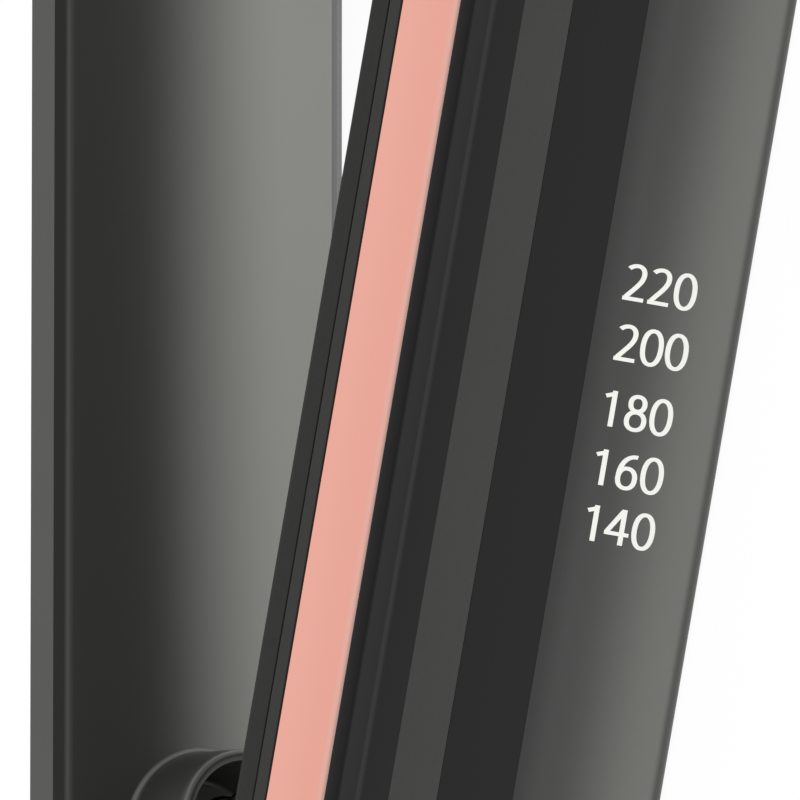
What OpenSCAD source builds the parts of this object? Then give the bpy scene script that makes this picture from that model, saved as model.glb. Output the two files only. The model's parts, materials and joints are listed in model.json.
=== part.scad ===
// Hair straightener lying on its side, hinge axis upright.
// Origin: hinge axis at the side it rests on. +Y runs along the control arm to its
// tip, +X is the control arm's outer side, +Z is the hinge axis.
// The plain arm is drawn closed and then swung open about the hinge axis.

/* [Arms] */
// Width of both arms, along the hinge pin
arm_w = 32.4; // [31:0.1:36]
// Depth of the control arm from its inner cover to its top face
control_t = 17.1; // [16.5:0.1:20]
// Depth of the plain arm behind its inner panel
plain_t = 13; // [12.5:0.1:16]
// Gap between the two inner covers at the handle when the arms are closed
arm_gap = 10; // [9.6:0.1:11]
// Length of the arms from the hinge axis to the tip
arm_l = 262; // [250:1:290]
// Length of the handles from the hinge axis to the hot end
handle_l = 141; // [136:0.5:150]
// Length of the control arm behind the hinge axis
tail_l = 20; // [19:0.5:24]
// Angle between the arms at rest
open_angle = 17.03; // [15.5:0.1:18.5]
// Taper of the control arm's top over the hot end, in degrees
control_taper = 1.6; // [0.5:0.1:2]
// Taper of the plain arm's back over the hot end, in degrees
plain_taper = 1.0; // [0.3:0.1:1.3]

/* [Shells] */
// Side wall of the shells
shell_wall = 2.2; // [2:0.1:2.4]
// Top wall of the control shell, under its inlays
top_wall = 2.6; // [2.4:0.1:2.9]
// Back wall of the plain shell
back_wall = 1.8; // [1.5:0.1:2.2]
// Rounding of the control arm's long top edges
edge_r = 1.5; // [1:0.1:1.6]
// Rounding of the control arm's inner edges
inner_r = 1.2; // [0.8:0.1:1.5]
// Rounding of the tail and tip corners seen from above
end_r = 7; // [5:0.5:8]
// Height of the inner cover's skirt on the control arm
skirt_h = 3.42; // [3:0.02:3.8]
// Wall of the inner covers
cover_wall = 1.6; // [1.4:0.1:1.8]
// Start of the control arm's inner cover, from the hinge axis
cover_y = 12.6; // [12.4:0.1:14]

/* [Inlays] */
// Start of the rose trim above the inner face
trim_low = 5.25; // [5:0.05:6]
// End of the rose trim above the inner face
trim_high = 13.9; // [13:0.05:14.2]
// Thickness of the rose trim
trim_t = 0.8; // [0.6:0.1:1]
// Start of the trim, from the hinge axis
trim_y = 8; // [2:0.5:30]
// Start of the gloss panel, from the hinge axis
panel_y = 17; // [15:0.5:28]
// Thickness of the gloss panel
panel_t = 1; // [0.8:0.05:1.1]
// Edge of the gloss panel beside the middle line, towards the numbers
panel_edge = 0.5; // [0:0.1:1]
// Start of the satin stripe from the middle line
stripe_from = 7; // [6:0.1:7.5]
// Width of the satin stripe
stripe_w = 4.87; // [4:0.01:5.5]
// Thickness of the stripe
stripe_t = 0.5; // [0.3:0.05:0.6]

/* [Plain arm panel] */
// Width of the inner panel's face
panel_face_w = 27.12; // [26:0.02:28]
// Height of the panel's sloped edge
panel_rise = 0.96; // [0.7:0.02:1.2]
// Width of the panel's sloped edge
panel_slope_w = 1.19; // [0.9:0.01:1.3]
// Crown of the panel across its width
panel_crown = 1; // [0.4:0.1:1.2]
// Depth of the widest line of the plain arm below the panel's edge
waist_depth = 2.27; // [2:0.01:2.6]
// Lean of the plain arm's sides towards its back, in degrees
side_lean = 38; // [36:0.5:39]
// Rounding between the plain arm's sides and back
back_r = 9; // [6:0.5:10]

/* [Spring] */
// Distance of the spring from the hinge axis
spring_y = 59; // [56:0.5:62]
// Radius of the spring cup at its foot
cup_foot_r = 8.2; // [7.8:0.1:8.8]
// Radius of the spring cup at its rim
cup_rim_r = 7.2; // [6.9:0.1:7.5]
// Radius of the pocket in the spring cup
cup_pocket_r = 6.4; // [6:0.1:6.6]
// Height of the spring cup above the crown of the panel
cup_h = 6.8; // [6:0.1:7]
// Depth of the pocket below the rim
cup_depth = 8; // [7.5:0.1:8.5]
// Depth of the spring's seat in the control arm's inner cover
seat_depth = 2.5; // [2:0.1:3]
// Middle radius of the spring's coils
coil_r = 3.45; // [3:0.05:3.6]
// Diameter of the spring wire
wire_d = 0.9; // [0.7:0.05:1]
// Number of coils
coils = 8; // [6:1:9]

/* [Hinge] */
// Radius of the control arm's hinge cheeks
cheek_r = 10.5; // [10:0.1:10.8]
// Thickness of each cheek
cheek_t = 7.8; // [7:0.1:8]
// Radius of the hinge pin
pin_r = 2.5; // [2:0.1:3]
// Wall of the bushes around the pin
bush_wall = 1.44; // [1.2:0.02:1.6]
// Length of each bush
bush_l = 6; // [4:0.5:7]
// Radius of the hinge caps
cap_r = 6; // [5:0.1:7]
// Thickness of the hinge caps
cap_t = 1.2; // [1:0.1:1.6]
// Distance of the lock catch's outer end from the hinge axis
catch_r = 14.5; // [14.2:0.1:14.8]
// Width of the lock catch
catch_w = 1.5; // [1.3:0.1:1.7]

/* [Plates] */
// Distance of the heated plates' long edges from the arms' sides
plate_side = 4.2; // [4:0.1:5.2]
// Distance of the heated plates from the end of the handle
plate_lead = 5; // [4:0.5:20]
// Thickness of the heated plates
plate_t = 2.2; // [2:0.1:2.6]
// Gap between the two plates when the arms are closed
plate_gap = 0.3; // [0.2:0.05:0.6]
// How far each plate can sink into its arm
plate_travel = 1; // [0.5:0.1:1.2]
// Length of the tip caps
tip_l = 12; // [10:0.5:16]

/* [Controls] */
// Radius of the buttons
button_r = 4.2; // [3.5:0.1:4.5]
// Distance of the first button from the hinge axis
button_y = 32; // [31:0.5:33]
// Pitch of the buttons
button_pitch = 12; // [11.5:0.5:12]
// Height of the buttons above the shell
button_rise = 0.6; // [0.3:0.1:0.9]
// Travel of the buttons
button_travel = 0.5; // [0.3:0.1:0.6]
// Travel of the lock slider, across the arm
lock_travel = 4.5; // [4:0.1:4.8]
// Place of the lock slider along the arm
lock_y = -0.9; // [-1.2:0.1:-0.6]

/* [Cord swivel] */
// Bore of the swivel, for the cord
swivel_bore_r = 3.4; // [3:0.1:3.8]
// Outer radius of the swivel
swivel_r = 5.4; // [5.2:0.1:5.6]
// How far the swivel stands out of the tail
swivel_out = 6; // [4:0.5:12]

/* [Clearances] */
// Gap round the moving pieces
run_gap = 0.3; // [0.3:0.02:0.4]
// Gap round the fixed inlays and covers
seam = 0.1; // [0.08:0.01:0.15]
// Radial clearance between the pin and its bushes
pin_gap = 0.06; // [0.03:0.01:0.1]

/* [Hidden] */
$fn = 64;

// Planes across the arms, measured along X
mid_z = arm_w / 2;
inner_x = arm_gap / 2;
control_x = inner_x + control_t;
seam_x = inner_x + skirt_h;
plain_x = -inner_x - plain_t;
rim_x = -inner_x - panel_rise;
waist_x = -inner_x - waist_depth;
hot_lip_x = plate_gap / 2 + 1.05;
hot_step = 0.15;
ceiling_x = control_x - top_wall;

// Places along the arms
cover_end = handle_l - 0.6;
plate_y0 = handle_l + plate_lead;
plate_y1 = arm_l - tip_l - 2;
tip_y = arm_l - tip_l;
tongue_l = 3;
inlay_end = handle_l - 1.5;
board_y0 = 28;
board_y1 = handle_l - 9;
screw_y = 22;
screw_dz = mid_z - 8.2;

// Heights across the arms
button_z = mid_z - 7.6;
stripe_z = mid_z + stripe_from;

// Inside the control arm
board_x = inner_x + 8.2;
board_t = 1.6;
board_hole = 4;
switch_x = ceiling_x - 1.5;
switch_w = 6;
wire_r = 0.8;
lead_lap = 6;
wire_side = 12.2;
wire_dz = mid_z - wire_side;
button_lip = 0.9;
led_z = mid_z + 1.4;
led_pitch = 5.1;
led_y = 98.4;
led_count = 5;
led_r = 1;
guide_t = 2.4;

// Carrier of the plates
plate_w = arm_w - 2 * plate_side;
plate_l = plate_y1 - plate_y0;
rib_t = 1.6;
rib_end = 20.4;
rib_y = [for (i = [0:2]) plate_y0 + rib_end + i * (plate_l / 2 - rib_end)];
back_half = mid_z - 7.2;
carrier_wall = 1.45;
plate_room = 0.4;
carrier_w = plate_w + 2 * (0.35 + carrier_wall);
carrier_x0 = hot_lip_x + 0.4;
pad_h = 4.25;
carrier_floor = plate_gap / 2 + plate_t + pad_h;
skirt_l = pad_h - plate_travel - run_gap;
carrier_x1 = carrier_floor + 2;
heater_side = 5;
heater_w = plate_w - 2 * heater_side;
heater_end = 14;
pad_end = 6;
sensor_r = 1.1;
sensor_l = 6;
sensor_z = mid_z + 3;
sensor_y = plate_y0 + 0.3 * plate_l;
heater_t = 2.4;
pad_r = 3.2;

// Hinge
knuckle_r = cheek_r + 0.1;
knuckle_z0 = cheek_t + run_gap;
knuckle_z1 = arm_w - cheek_t - run_gap;
bush_r = pin_r + pin_gap + bush_wall;
lock_in = 11.9;
lock_t = 1.15;
tongue_w = 5;
neck_l = 3.2;
neck_w = 3;
keeper_l = 6.2;
keeper_w = 11;
pad_w = 13;
lock_z = mid_z - lock_travel / 2;
tongue_z = knuckle_z0 + tongue_w / 2 + 0.6;
// The closed arms' catch stands a running gap beside the tongue's inner edge
tongue_y = lock_t / 2 - lock_y + run_gap;
catch_turn = -atan(tongue_y / lock_in) - asin(catch_w / 2 / norm([lock_in, tongue_y]));
catch_z0 = tongue_z + tongue_w / 2 + 0.4;
catch_foot = 7.6;
root_y = 16.5;
cap_seat = cap_t + 0.2;
panel_half_w = panel_face_w / 2 + panel_slope_w;
locate_w = mid_z - shell_wall - 0.15;
locate_d = 1.2;
hot_waist = -(carrier_x1 + shell_wall * tan(side_lean / 2) + (tip_y - handle_l) * tan(plain_taper) + 0.3);

// Cover screws
screw_r = 1.2;
screw_head_r = 2.3;
screw_head_t = 1.2;
screw_l = 8;
screw_hole = 12;
post_r = 3;
screw_face = -inner_x + 0.6;

// Spring, from the foot of its cup to its seat
coil_rings = 8;
wire_sides = 6;
spring_foot = -inner_x + panel_crown + cup_h - cup_depth;
spring_path_r = norm([spring_foot, spring_y]);
spring_rest = asin((wire_d / 2 + run_gap) / spring_path_r);
spring_start = 90 + open_angle + atan2(-spring_foot, spring_y) - spring_rest;
spring_end = atan2(spring_y, inner_x + seat_depth) + spring_rest;

// Swivel and leads in the tail
swivel_x = inner_x + control_t / 2;
flange_r = swivel_r + 1.5;
flange_t = 2.4;
flange_y = -tail_l + 4.4;
supply_r = 0.6;
lead_x = board_x + board_t + supply_r + 0.05;
lead_z = shell_wall + 2 * supply_r + 0.2;

// Corner of an outline: a quarter round of radius r about [x, z]
function corner(x, z, r, start, steps = 6) =
    [for (i = [0:steps]) let (a = start + 90 * i / steps) [x + r * cos(a), z + r * sin(a)]];

// Part of a circle from angle a0 to a1
function arc(x, z, r, a0, a1, steps = 12) =
    [for (i = [0:steps]) let (a = a0 + (a1 - a0) * i / steps) [x + r * cos(a), z + r * sin(a)]];

// Outline given in x and z, drawn out along the arm
module along_y(y0, y1) translate([0, y1, 0]) rotate([90, 0, 0]) linear_extrude(y1 - y0) children();

// Outline given in y and z, drawn out across the arm
module along_x(x0, x1) translate([x0, 0, 0]) rotate([90, 0, 90]) linear_extrude(x1 - x0) children();

// Outline given in x and y, drawn out along the hinge axis
module along_z(z0, z1) translate([0, 0, z0]) linear_extrude(z1 - z0) children();

// Block from one corner to the other
module block(p, q) translate(p) cube(q - p);

// Round bar along Y or along X
module rod_y(x, z, r, y0, y1) translate([x, y0, z]) rotate([-90, 0, 0]) cylinder(r = r, h = y1 - y0);
module rod_x(y, z, r, x0, x1) translate([x0, y, z]) rotate([0, 90, 0]) cylinder(r = r, h = x1 - x0);

// The plain arm's pieces are drawn closed and swung open
module opened() rotate([0, 0, open_angle]) children();

// Plates and what is under them are drawn on the control arm's side
module plain_side() opened() mirror([1, 0, 0]) children();

// The hot ends lean in from the end of the handle
module control_lean() translate([control_x, handle_l, 0]) rotate([0, 0, control_taper])
    translate([-control_x, -handle_l, 0]) children();
module plain_lean() translate([plain_x, handle_l, 0]) rotate([0, 0, -plain_taper])
    translate([-plain_x, -handle_l, 0]) children();

// Section of the control arm from the plane x_in outwards, smaller all round by inset
module control_outline(x_in, r_in, inset = 0) polygon(concat(
    corner(x_in + r_in, inset + r_in, r_in, 180),
    corner(control_x - edge_r, edge_r, edge_r - inset, 270),
    corner(control_x - edge_r, arm_w - edge_r, edge_r - inset, 0),
    corner(x_in + r_in, arm_w - inset - r_in, r_in, 90)));

// Upper half of the plain arm's section: from its widest line round to its back
function plain_half(waist) =
    let (corner_z = mid_z - (waist - plain_x) * tan(side_lean),
        run = back_r * tan((90 - side_lean) / 2))
    concat([[waist, mid_z]], arc(plain_x + back_r, corner_z - run, back_r, 90 + side_lean, 180, 8));

// Section of the plain arm: mouth is its first corner, waist the depth of its widest line
module plain_outline(mouth, waist, inset = 0) {
    half = concat([mouth], plain_half(waist));
    last = len(half) - 1;
    translate([0, mid_z]) offset(delta = -inset)
        polygon(concat(half, [for (i = [last:-1:0]) [half[i][0], -half[i][1]]]));
}

// Tail and long sides of the control arm, seen along the hinge axis
module control_profile() {
    translate([inner_x + end_r / 2, -tail_l + end_r / 2]) circle(end_r / 2);
    translate([control_x - end_r, -tail_l + end_r]) circle(end_r);
    translate([inner_x + end_r / 2, -tail_l]) square([control_t - end_r * 1.5, end_r]);
    translate([inner_x, -tail_l + end_r / 2]) square([end_r, end_r]);
    translate([inner_x, -tail_l + end_r]) square([control_t, handle_l + tail_l - end_r]);
    translate([-cheek_r - 1, -cheek_r - 1]) square([cheek_r + inner_x + 2, 2 * cheek_r + 2]);
    lip_rise = seam_x - hot_lip_x;
    polygon([[seam_x, handle_l - 2], [inner_x, handle_l], [hot_lip_x, handle_l + lip_rise / 2],
        [hot_lip_x, tip_y], [control_x, tip_y], [control_x, handle_l - 2]]);
}

// Tail corners of the control arm, seen from above
module control_plan() hull() {
    for (z = [end_r, arm_w - end_r]) translate([-tail_l + end_r, z]) circle(end_r);
    translate([arm_l - 1, 0]) square([1, arm_w]);
}

module control_body() intersection() {
    union() {
        along_y(-tail_l, cover_y) control_outline(inner_x, inner_r);
        along_y(cover_y - 1, handle_l) control_outline(seam_x, 0.2);
        along_y(cover_end + seam, handle_l) control_outline(inner_x, inner_r);
        control_lean() along_y(handle_l, tip_y + 2) control_outline(-inner_x, 0.2, hot_step);
        for (z = [0, arm_w - cheek_t]) along_z(z, z + cheek_t) {
            circle(cheek_r);
            translate([0, -cheek_r]) square([inner_x + 2, 2 * cheek_r]);
        }
    }
    along_z(-1, arm_w + 1) control_profile();
    along_x(-cheek_r - 1, control_x + 1) control_plan();
}

// Room for the plain arm's knuckle and the swing of its lock catch
module knuckle_room() along_z(cheek_t, arm_w - cheek_t) {
    circle(knuckle_r + run_gap + 0.2);
    catch_half = asin(catch_w / 2 / knuckle_r);
    polygon(concat([[0, 0]], arc(0, 0, catch_r + run_gap + 0.4, catch_turn - catch_half - 2,
        catch_turn + catch_half + open_angle + 1.6, 8)));
}

// Slice of the lock slider's room: a piece l long and w wide, over its whole travel
module lock_slot(l, w, z, x0, x1, gap = run_gap) block(
    [x0, lock_y - l / 2 - gap, z - w / 2 - gap],
    [x1, lock_y + l / 2 + gap, z + w / 2 + lock_travel + gap]);

// Room for the lock slider: its slot, its keeper and its tongue
module lock_room() {
    lock_slot(neck_l, neck_w, lock_z, ceiling_x - 1, control_x + 1);
    lock_slot(keeper_l, keeper_w, lock_z, ceiling_x - 2.4, ceiling_x - 0.1);
    lock_slot(lock_t, tongue_w, tongue_z, lock_in - 0.4, ceiling_x - 2.3, 0.8);
}

// Room for the swivel and the way of the supply leads past the hinge
module swivel_room() {
    rod_y(swivel_x, mid_z, swivel_r + run_gap, -tail_l - 1, -tail_l + 5);
    rod_y(swivel_x, mid_z, flange_r + run_gap, flange_y - run_gap, flange_y + flange_t + run_gap);
    way = 2 * supply_r + 0.2;
    block([lead_x - way, flange_y + 1, lead_z - way], [lead_x + way, cover_y + 4, lead_z + way]);
    block([lead_x - way, flange_y + 1, lead_z - way], [lead_x + way, flange_y + 3.4, mid_z]);
}

// Recess of the gloss panel: over the top and down the side to the trim
module panel_form(gap) along_y(panel_y - gap, inlay_end + gap) difference() {
    control_outline(inner_x, inner_r);
    control_outline(inner_x - 1, inner_r, panel_t);
    block2([0, -1], [control_x + 1, mid_z - panel_edge - gap]);
    block2([0, -1], [inner_x + trim_high + seam - gap, arm_w + 1]);
}

// Flat block of an outline, from one corner to the other
module block2(p, q) translate(p) square(q - p);

// Recess of the rose trim in the side, open to the panel's recess
module trim_room() block([inner_x + trim_low - seam, trim_y - seam, arm_w - trim_t - seam / 2],
    [inner_x + trim_high + seam / 2, inlay_end + seam, arm_w + 1]);

module control_shell() color("#4b4d4a") difference() {
    union() {
        difference() {
            control_body();
            along_y(cover_y + 2, handle_l - 1.2) block2([seam_x - 1, shell_wall],
                [ceiling_x, arm_w - shell_wall]);
            // Way from the handle into the hot end, a little narrower than both
            block([seam_x, handle_l - 1.3, shell_wall + 0.5],
                [ceiling_x - 1, handle_l + 2, arm_w - shell_wall - 0.5]);
            control_lean() along_y(handle_l, arm_l) block2([-inner_x - 1, shell_wall],
                [ceiling_x, arm_w - shell_wall]);
        }
        // Posts of the inner cover's screws
        for (dz = [-screw_dz, screw_dz])
            rod_x(screw_y, mid_z + dz, post_r, seam_x + 0.2, ceiling_x + 0.5);
        // Ledges that carry the board
        for (z = [shell_wall - 0.5, arm_w - shell_wall - 1])
            block([board_x + board_t + seam, board_y0, z], [ceiling_x + 0.5, board_y1, z + 1.5]);
        // Ribs under the carrier
        for (y = rib_y) block([carrier_x1 + seam, y, shell_wall - 0.5],
            [ceiling_x - 1, y + rib_t, arm_w - shell_wall + 0.5]);
    }
    knuckle_room();
    lock_room();
    swivel_room();
    panel_form(seam);
    trim_room();
    // Pin bore with the seats of its caps
    cylinder(r = pin_r, h = arm_w);
    for (z = [-1, arm_w - cap_seat]) translate([0, 0, z]) cylinder(r = cap_r + seam, h = cap_seat + 1);
    for (dz = [-screw_dz, screw_dz])
        rod_x(screw_y, mid_z + dz, screw_r + 0.05, seam_x - 1, seam_x + 10);
    for (i = [0:2]) {
        rod_x(button_y + i * button_pitch, button_z, button_r + run_gap, ceiling_x - 1, control_x + 1);
    }
    for (i = [0:led_count - 1])
        rod_x(led_y + (i - (led_count - 1) / 2) * led_pitch, led_z, led_r + 0.2, ceiling_x - 1,
            control_x - panel_t);
}

module gloss_panel() color("#262626") difference() {
    panel_form(0);
    block([control_x - stripe_t, panel_y - 1, stripe_z - seam],
        [control_x + 1, inlay_end + 1, stripe_z + stripe_w + seam]);
}

module panel_stripe() color("#474745")
    block([control_x - stripe_t, panel_y, stripe_z], [control_x, inlay_end, stripe_z + stripe_w]);

module side_trim() color("#ebab9b") {
    x0 = inner_x + trim_low;
    x1 = inner_x + trim_high;
    bevel = 0.3;
    along_y(trim_y, inlay_end) polygon([[x0, arm_w - trim_t], [x0, arm_w - bevel],
        [x0 + bevel, arm_w], [x1 - bevel, arm_w], [x1, arm_w - bevel], [x1, arm_w - trim_t]]);
}

// Seat of the spring in the control arm's inner cover
module spring_seat(r, x0, x1) rod_x(spring_y, mid_z, r, x0, x1);

module control_inner_cover() color("#343533") difference() {
    seat_x = inner_x + seat_depth;
    union() {
        along_y(cover_y, cover_end) difference() {
            polygon(concat(corner(inner_x + inner_r, inner_r, inner_r, 180),
                [[seam_x - seam, 0], [seam_x - seam, arm_w]],
                corner(inner_x + inner_r, arm_w - inner_r, inner_r, 90)));
            block2([inner_x + cover_wall, cover_wall], [seam_x + 1, arm_w - cover_wall]);
        }
        spring_seat(coil_r + wire_d + 2, inner_x + 0.5, seat_x + cover_wall);
        for (dz = [-screw_dz, screw_dz])
            rod_x(screw_y, mid_z + dz, post_r + 0.2, inner_x + 0.5, seam_x + 0.1);
    }
    spring_seat(coil_r + wire_d / 2 + run_gap, inner_x - 1, seat_x);
    for (dz = [-screw_dz, screw_dz]) screw_room(mid_z + dz, inner_x, 1);
}

// Hole of a cover screw with its sunk head; side is 1 for the control arm, -1 for the plain arm
module screw_room(z, face, side) {
    x = face + side * (screw_head_t + 0.4);
    rod_x(screw_y, z, screw_r + 0.15, min(x, x + side * screw_hole), max(x, x + side * screw_hole));
    rod_x(screw_y, z, screw_head_r + 0.15, min(face - side * 3, x), max(face - side * 3, x));
}

// Screw with a cross recess in its head
module screw(z, face, side) difference() {
    x = face + side * 0.4;
    union() {
        rod_x(screw_y, z, screw_head_r, min(x, x + side * screw_head_t), max(x, x + side * screw_head_t));
        rod_x(screw_y, z, screw_r, min(x, x + side * screw_l), max(x, x + side * screw_l));
    }
    for (a = [0, 90]) translate([x, screw_y, z]) rotate([a, 0, 0])
        cube([1.6, 2.4, 0.6], center = true);
}

module control_screws() color("#2a2a2a") for (dz = [-screw_dz, screw_dz]) screw(mid_z + dz, inner_x, 1);

// Rounded end of an arm seen along the hinge axis and from above
module tip_rounding(x0, x1, r) intersection() {
    along_z(-1, arm_w + 1) hull() {
        translate([x0, tip_y - 8]) square([x1 - x0, 8]);
        translate([x1 - r, arm_l - r]) circle(r);
        translate([x0 + 2, arm_l - 2]) circle(2);
    }
    along_x(x0 - 1, x1 + 1) hull() {
        translate([tip_y - 8, 0]) square([8, arm_w]);
        for (z = [end_r, arm_w - end_r]) translate([arm_l - end_r, z]) circle(end_r);
    }
}

module control_tip() color("#2c2c2c") {
    x1 = control_x - (tip_y - handle_l) * tan(control_taper);
    intersection() {
        control_lean() along_y(handle_l, arm_l + 2) control_outline(-inner_x, 0.2, hot_step);
        tip_rounding(hot_lip_x, x1, end_r);
        block([hot_lip_x, tip_y, -1], [control_x + 1, arm_l + 1, arm_w + 1]);
    }
    // Tongue inside the shell's end
    block([carrier_x1 + 0.6, tip_y - tongue_l, shell_wall + 0.2], [ceiling_x - 3.6, tip_y + 1,
        arm_w - shell_wall - 0.2]);
}

// Heated plate: rounded long edges, and skirts that hold it in its carrier
module plate() {
    x0 = plate_gap / 2;
    r = 2;
    side = mid_z - plate_w / 2;
    along_y(plate_y0, plate_y1) difference() {
        polygon(concat(corner(x0 + r, side + r, r, 180), [[x0 + plate_t + skirt_l, side],
            [x0 + plate_t + skirt_l, arm_w - side]], corner(x0 + r, arm_w - side - r, r, 90)));
        block2([x0 + plate_t, side + 2.2], [x0 + 9, arm_w - side - 2.2]);
    }
}

module heater() {
    x0 = plate_gap / 2 + plate_t;
    block([x0, plate_y0 + heater_end, mid_z - heater_w / 2],
        [x0 + heater_t, plate_y1 - heater_end, mid_z + heater_w / 2]);
}

// Carrier: a frame round the plate with a floor that the pads stand on
module carrier() difference() {
    side = mid_z - carrier_w / 2;
    y0 = plate_y0 - plate_room - carrier_wall;
    y1 = plate_y1 + plate_room + carrier_wall;
    block([carrier_x0, y0, side], [carrier_x1, y1, arm_w - side]);
    block([carrier_x0 - 1, plate_y0 - plate_room, side + carrier_wall],
        [carrier_floor, plate_y1 + plate_room, arm_w - side - carrier_wall]);
    window = heater_end - 2;
    block([carrier_floor - 1, plate_y0 + window, mid_z - heater_w / 2 - 1],
        [carrier_x1 + 1, plate_y1 - window, mid_z + heater_w / 2 + 1]);
}

// Silicone pads that the plate floats on
module pads() for (y = [plate_y0 + pad_end, plate_y1 - pad_end])
    rod_x(y, mid_z, pad_r, plate_gap / 2 + plate_t + 0.02, carrier_floor - 0.02);

module control_carrier() color("#3b3a38") carrier();
module control_pads() color("#b5523c") pads();
module control_plate() color("#5a5653") plate();
module control_heater() color("#d9d4c8") heater();

module thermistor() color("#c98a4b") {
    x = plate_gap / 2 + plate_t + heater_t + sensor_r;
    rod_y(x, sensor_z, sensor_r, sensor_y, sensor_y + sensor_l);
    rod_y(x, sensor_z, sensor_r / 2, sensor_y - sensor_l, sensor_y + sensor_l / 2);
}

module control_board() color("#2f5d3a") difference() {
    block([board_x, board_y0, shell_wall + 0.3], [board_x + board_t, board_y1, arm_w - shell_wall - 0.3]);
    for (y = [board_y0 + board_hole, board_y1 - board_hole])
        rod_x(y, mid_z + 1.5 * board_hole, 1.6, board_x - 1, board_x + board_t + 1);
}

module tact_switches() color("#c9c9c6") for (i = [0:2]) {
    y = button_y + i * button_pitch;
    block([board_x + board_t, y - switch_w / 2, button_z - switch_w / 2],
        [switch_x - 1, y + switch_w / 2, button_z + switch_w / 2]);
    rod_x(y, button_z, 1.6, switch_x - 1.1, switch_x - button_travel - 0.3);
}

module light_guide() color("#dfe6e6") {
    x0 = board_x + board_t + seam;
    half = (led_count - 1) * led_pitch / 2 + 2 * led_r;
    block([x0, led_y - half, led_z - 1.6 * led_r], [x0 + guide_t, led_y + half, led_z + 1.6 * led_r]);
    for (i = [0:led_count - 1])
        rod_x(led_y + (i - (led_count - 1) / 2) * led_pitch, led_z, led_r, x0 + guide_t - 0.5,
            control_x - panel_t - seam);
}

module supply_leads() color("#7a2f2a") for (i = [-1, 1])
    rod_y(lead_x, lead_z + i * (supply_r + 0.05), supply_r, flange_y + 1.4, board_y0 - 0.2);

module control_leads() color("#7a2f2a") for (dz = [-wire_dz, wire_dz]) {
    x = board_x - wire_r - 0.05;
    end_y = plate_y0 + rib_end - 2.4;
    rod_y(x, mid_z + dz, wire_r, board_y1 - lead_lap, end_y);
    rod_x(end_y - wire_r, mid_z + dz, wire_r, carrier_floor - 0.6, x);
}

// Button: cap, flange under the shell's wall and stem to its switch
module button(i) {
    y = button_y + i * button_pitch;
    flange_x = ceiling_x - run_gap;
    rod_x(y, button_z, button_r, flange_x - 0.4, control_x + button_rise);
    rod_x(y, button_z, button_r + button_lip, flange_x - button_lip, flange_x);
    rod_x(y, button_z, 1.2, switch_x, flange_x);
}

module power_button() color("#3a3b39") button(0);
module minus_button() color("#3a3b39") button(1);
module plus_button() color("#3a3b39") button(2);

// Slice of the lock slider l long and w wide
module lock_bar(l, w, z, x0, x1) block([x0, lock_y - l / 2, z - w / 2],
    [x1, lock_y + l / 2, z + w / 2]);

module lock_slider() color("#2e2e2d") {
    // Pad with grip ribs
    along_y(lock_y - pad_w / 2, lock_y + pad_w / 2) polygon([
        [control_x + 0.2, lock_z - pad_w / 2], [control_x + 0.2, lock_z + pad_w / 2],
        [control_x + 0.6, lock_z + pad_w / 2], [control_x + 1.4, lock_z + pad_w / 2 - 1.2],
        [control_x + 1.4, lock_z - pad_w / 2 + 1.2], [control_x + 0.6, lock_z - pad_w / 2]]);
    for (i = [-2:2]) block([control_x + 1, lock_y - pad_w / 2 + 1.5, lock_z + i * 2 - 0.4],
        [control_x + 1.9, lock_y + pad_w / 2 - 1.5, lock_z + i * 2 + 0.4]);
    lock_bar(neck_l, neck_w, lock_z, ceiling_x - 1.5, control_x + 0.5);
    lock_bar(keeper_l, keeper_w, lock_z, ceiling_x - 2.1, ceiling_x - run_gap - 0.1);
    lock_bar(lock_t, tongue_w, tongue_z, lock_in, ceiling_x - 2);
}

module cord_swivel() color("#2d2d2d") difference() {
    union() {
        rod_y(swivel_x, mid_z, swivel_r, -tail_l - swivel_out + 1, flange_y + 1);
        translate([swivel_x, -tail_l - swivel_out + 1, mid_z]) rotate([90, 0, 0])
            cylinder(r1 = swivel_r, r2 = swivel_r - 0.8, h = 1);
        rod_y(swivel_x, mid_z, flange_r, flange_y, flange_y + flange_t);
    }
    rod_y(swivel_x, mid_z, swivel_bore_r, -tail_l - swivel_out - 1, flange_y + flange_t + 1);
}

module hinge_pin() color("#b9bcbe") translate([0, 0, cap_seat]) cylinder(r = pin_r, h = arm_w - 2 * cap_seat);

module hinge_caps() color("#3a3a3a") for (z = [0, arm_w - cap_t]) translate([0, 0, z])
    cylinder(r = cap_r, h = cap_t);

// Spring: one wire wound round an arc about the hinge axis, from the cup to the seat
function spring_angle(t) = spring_start + (spring_end - spring_start) * t;

function wire_middle(t) = let (a = spring_angle(t), w = 360 * coils * t)
    [(spring_path_r + coil_r * cos(w)) * cos(a), (spring_path_r + coil_r * cos(w)) * sin(a),
        mid_z + coil_r * sin(w)];

function wire_ring(t) = let (
    a = spring_angle(t),
    w = 360 * coils * t,
    forward = wire_middle(t + 0.001) - wire_middle(t - 0.001),
    out = [cos(w) * cos(a), cos(w) * sin(a), sin(w)],
    side = cross(forward, out) / norm(cross(forward, out)),
    up = cross(side, forward) / norm(cross(side, forward)))
    [for (k = [0:wire_sides - 1]) wire_middle(t)
        + wire_d / 2 * (cos(360 * k / wire_sides) * up + sin(360 * k / wire_sides) * side)];

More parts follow.
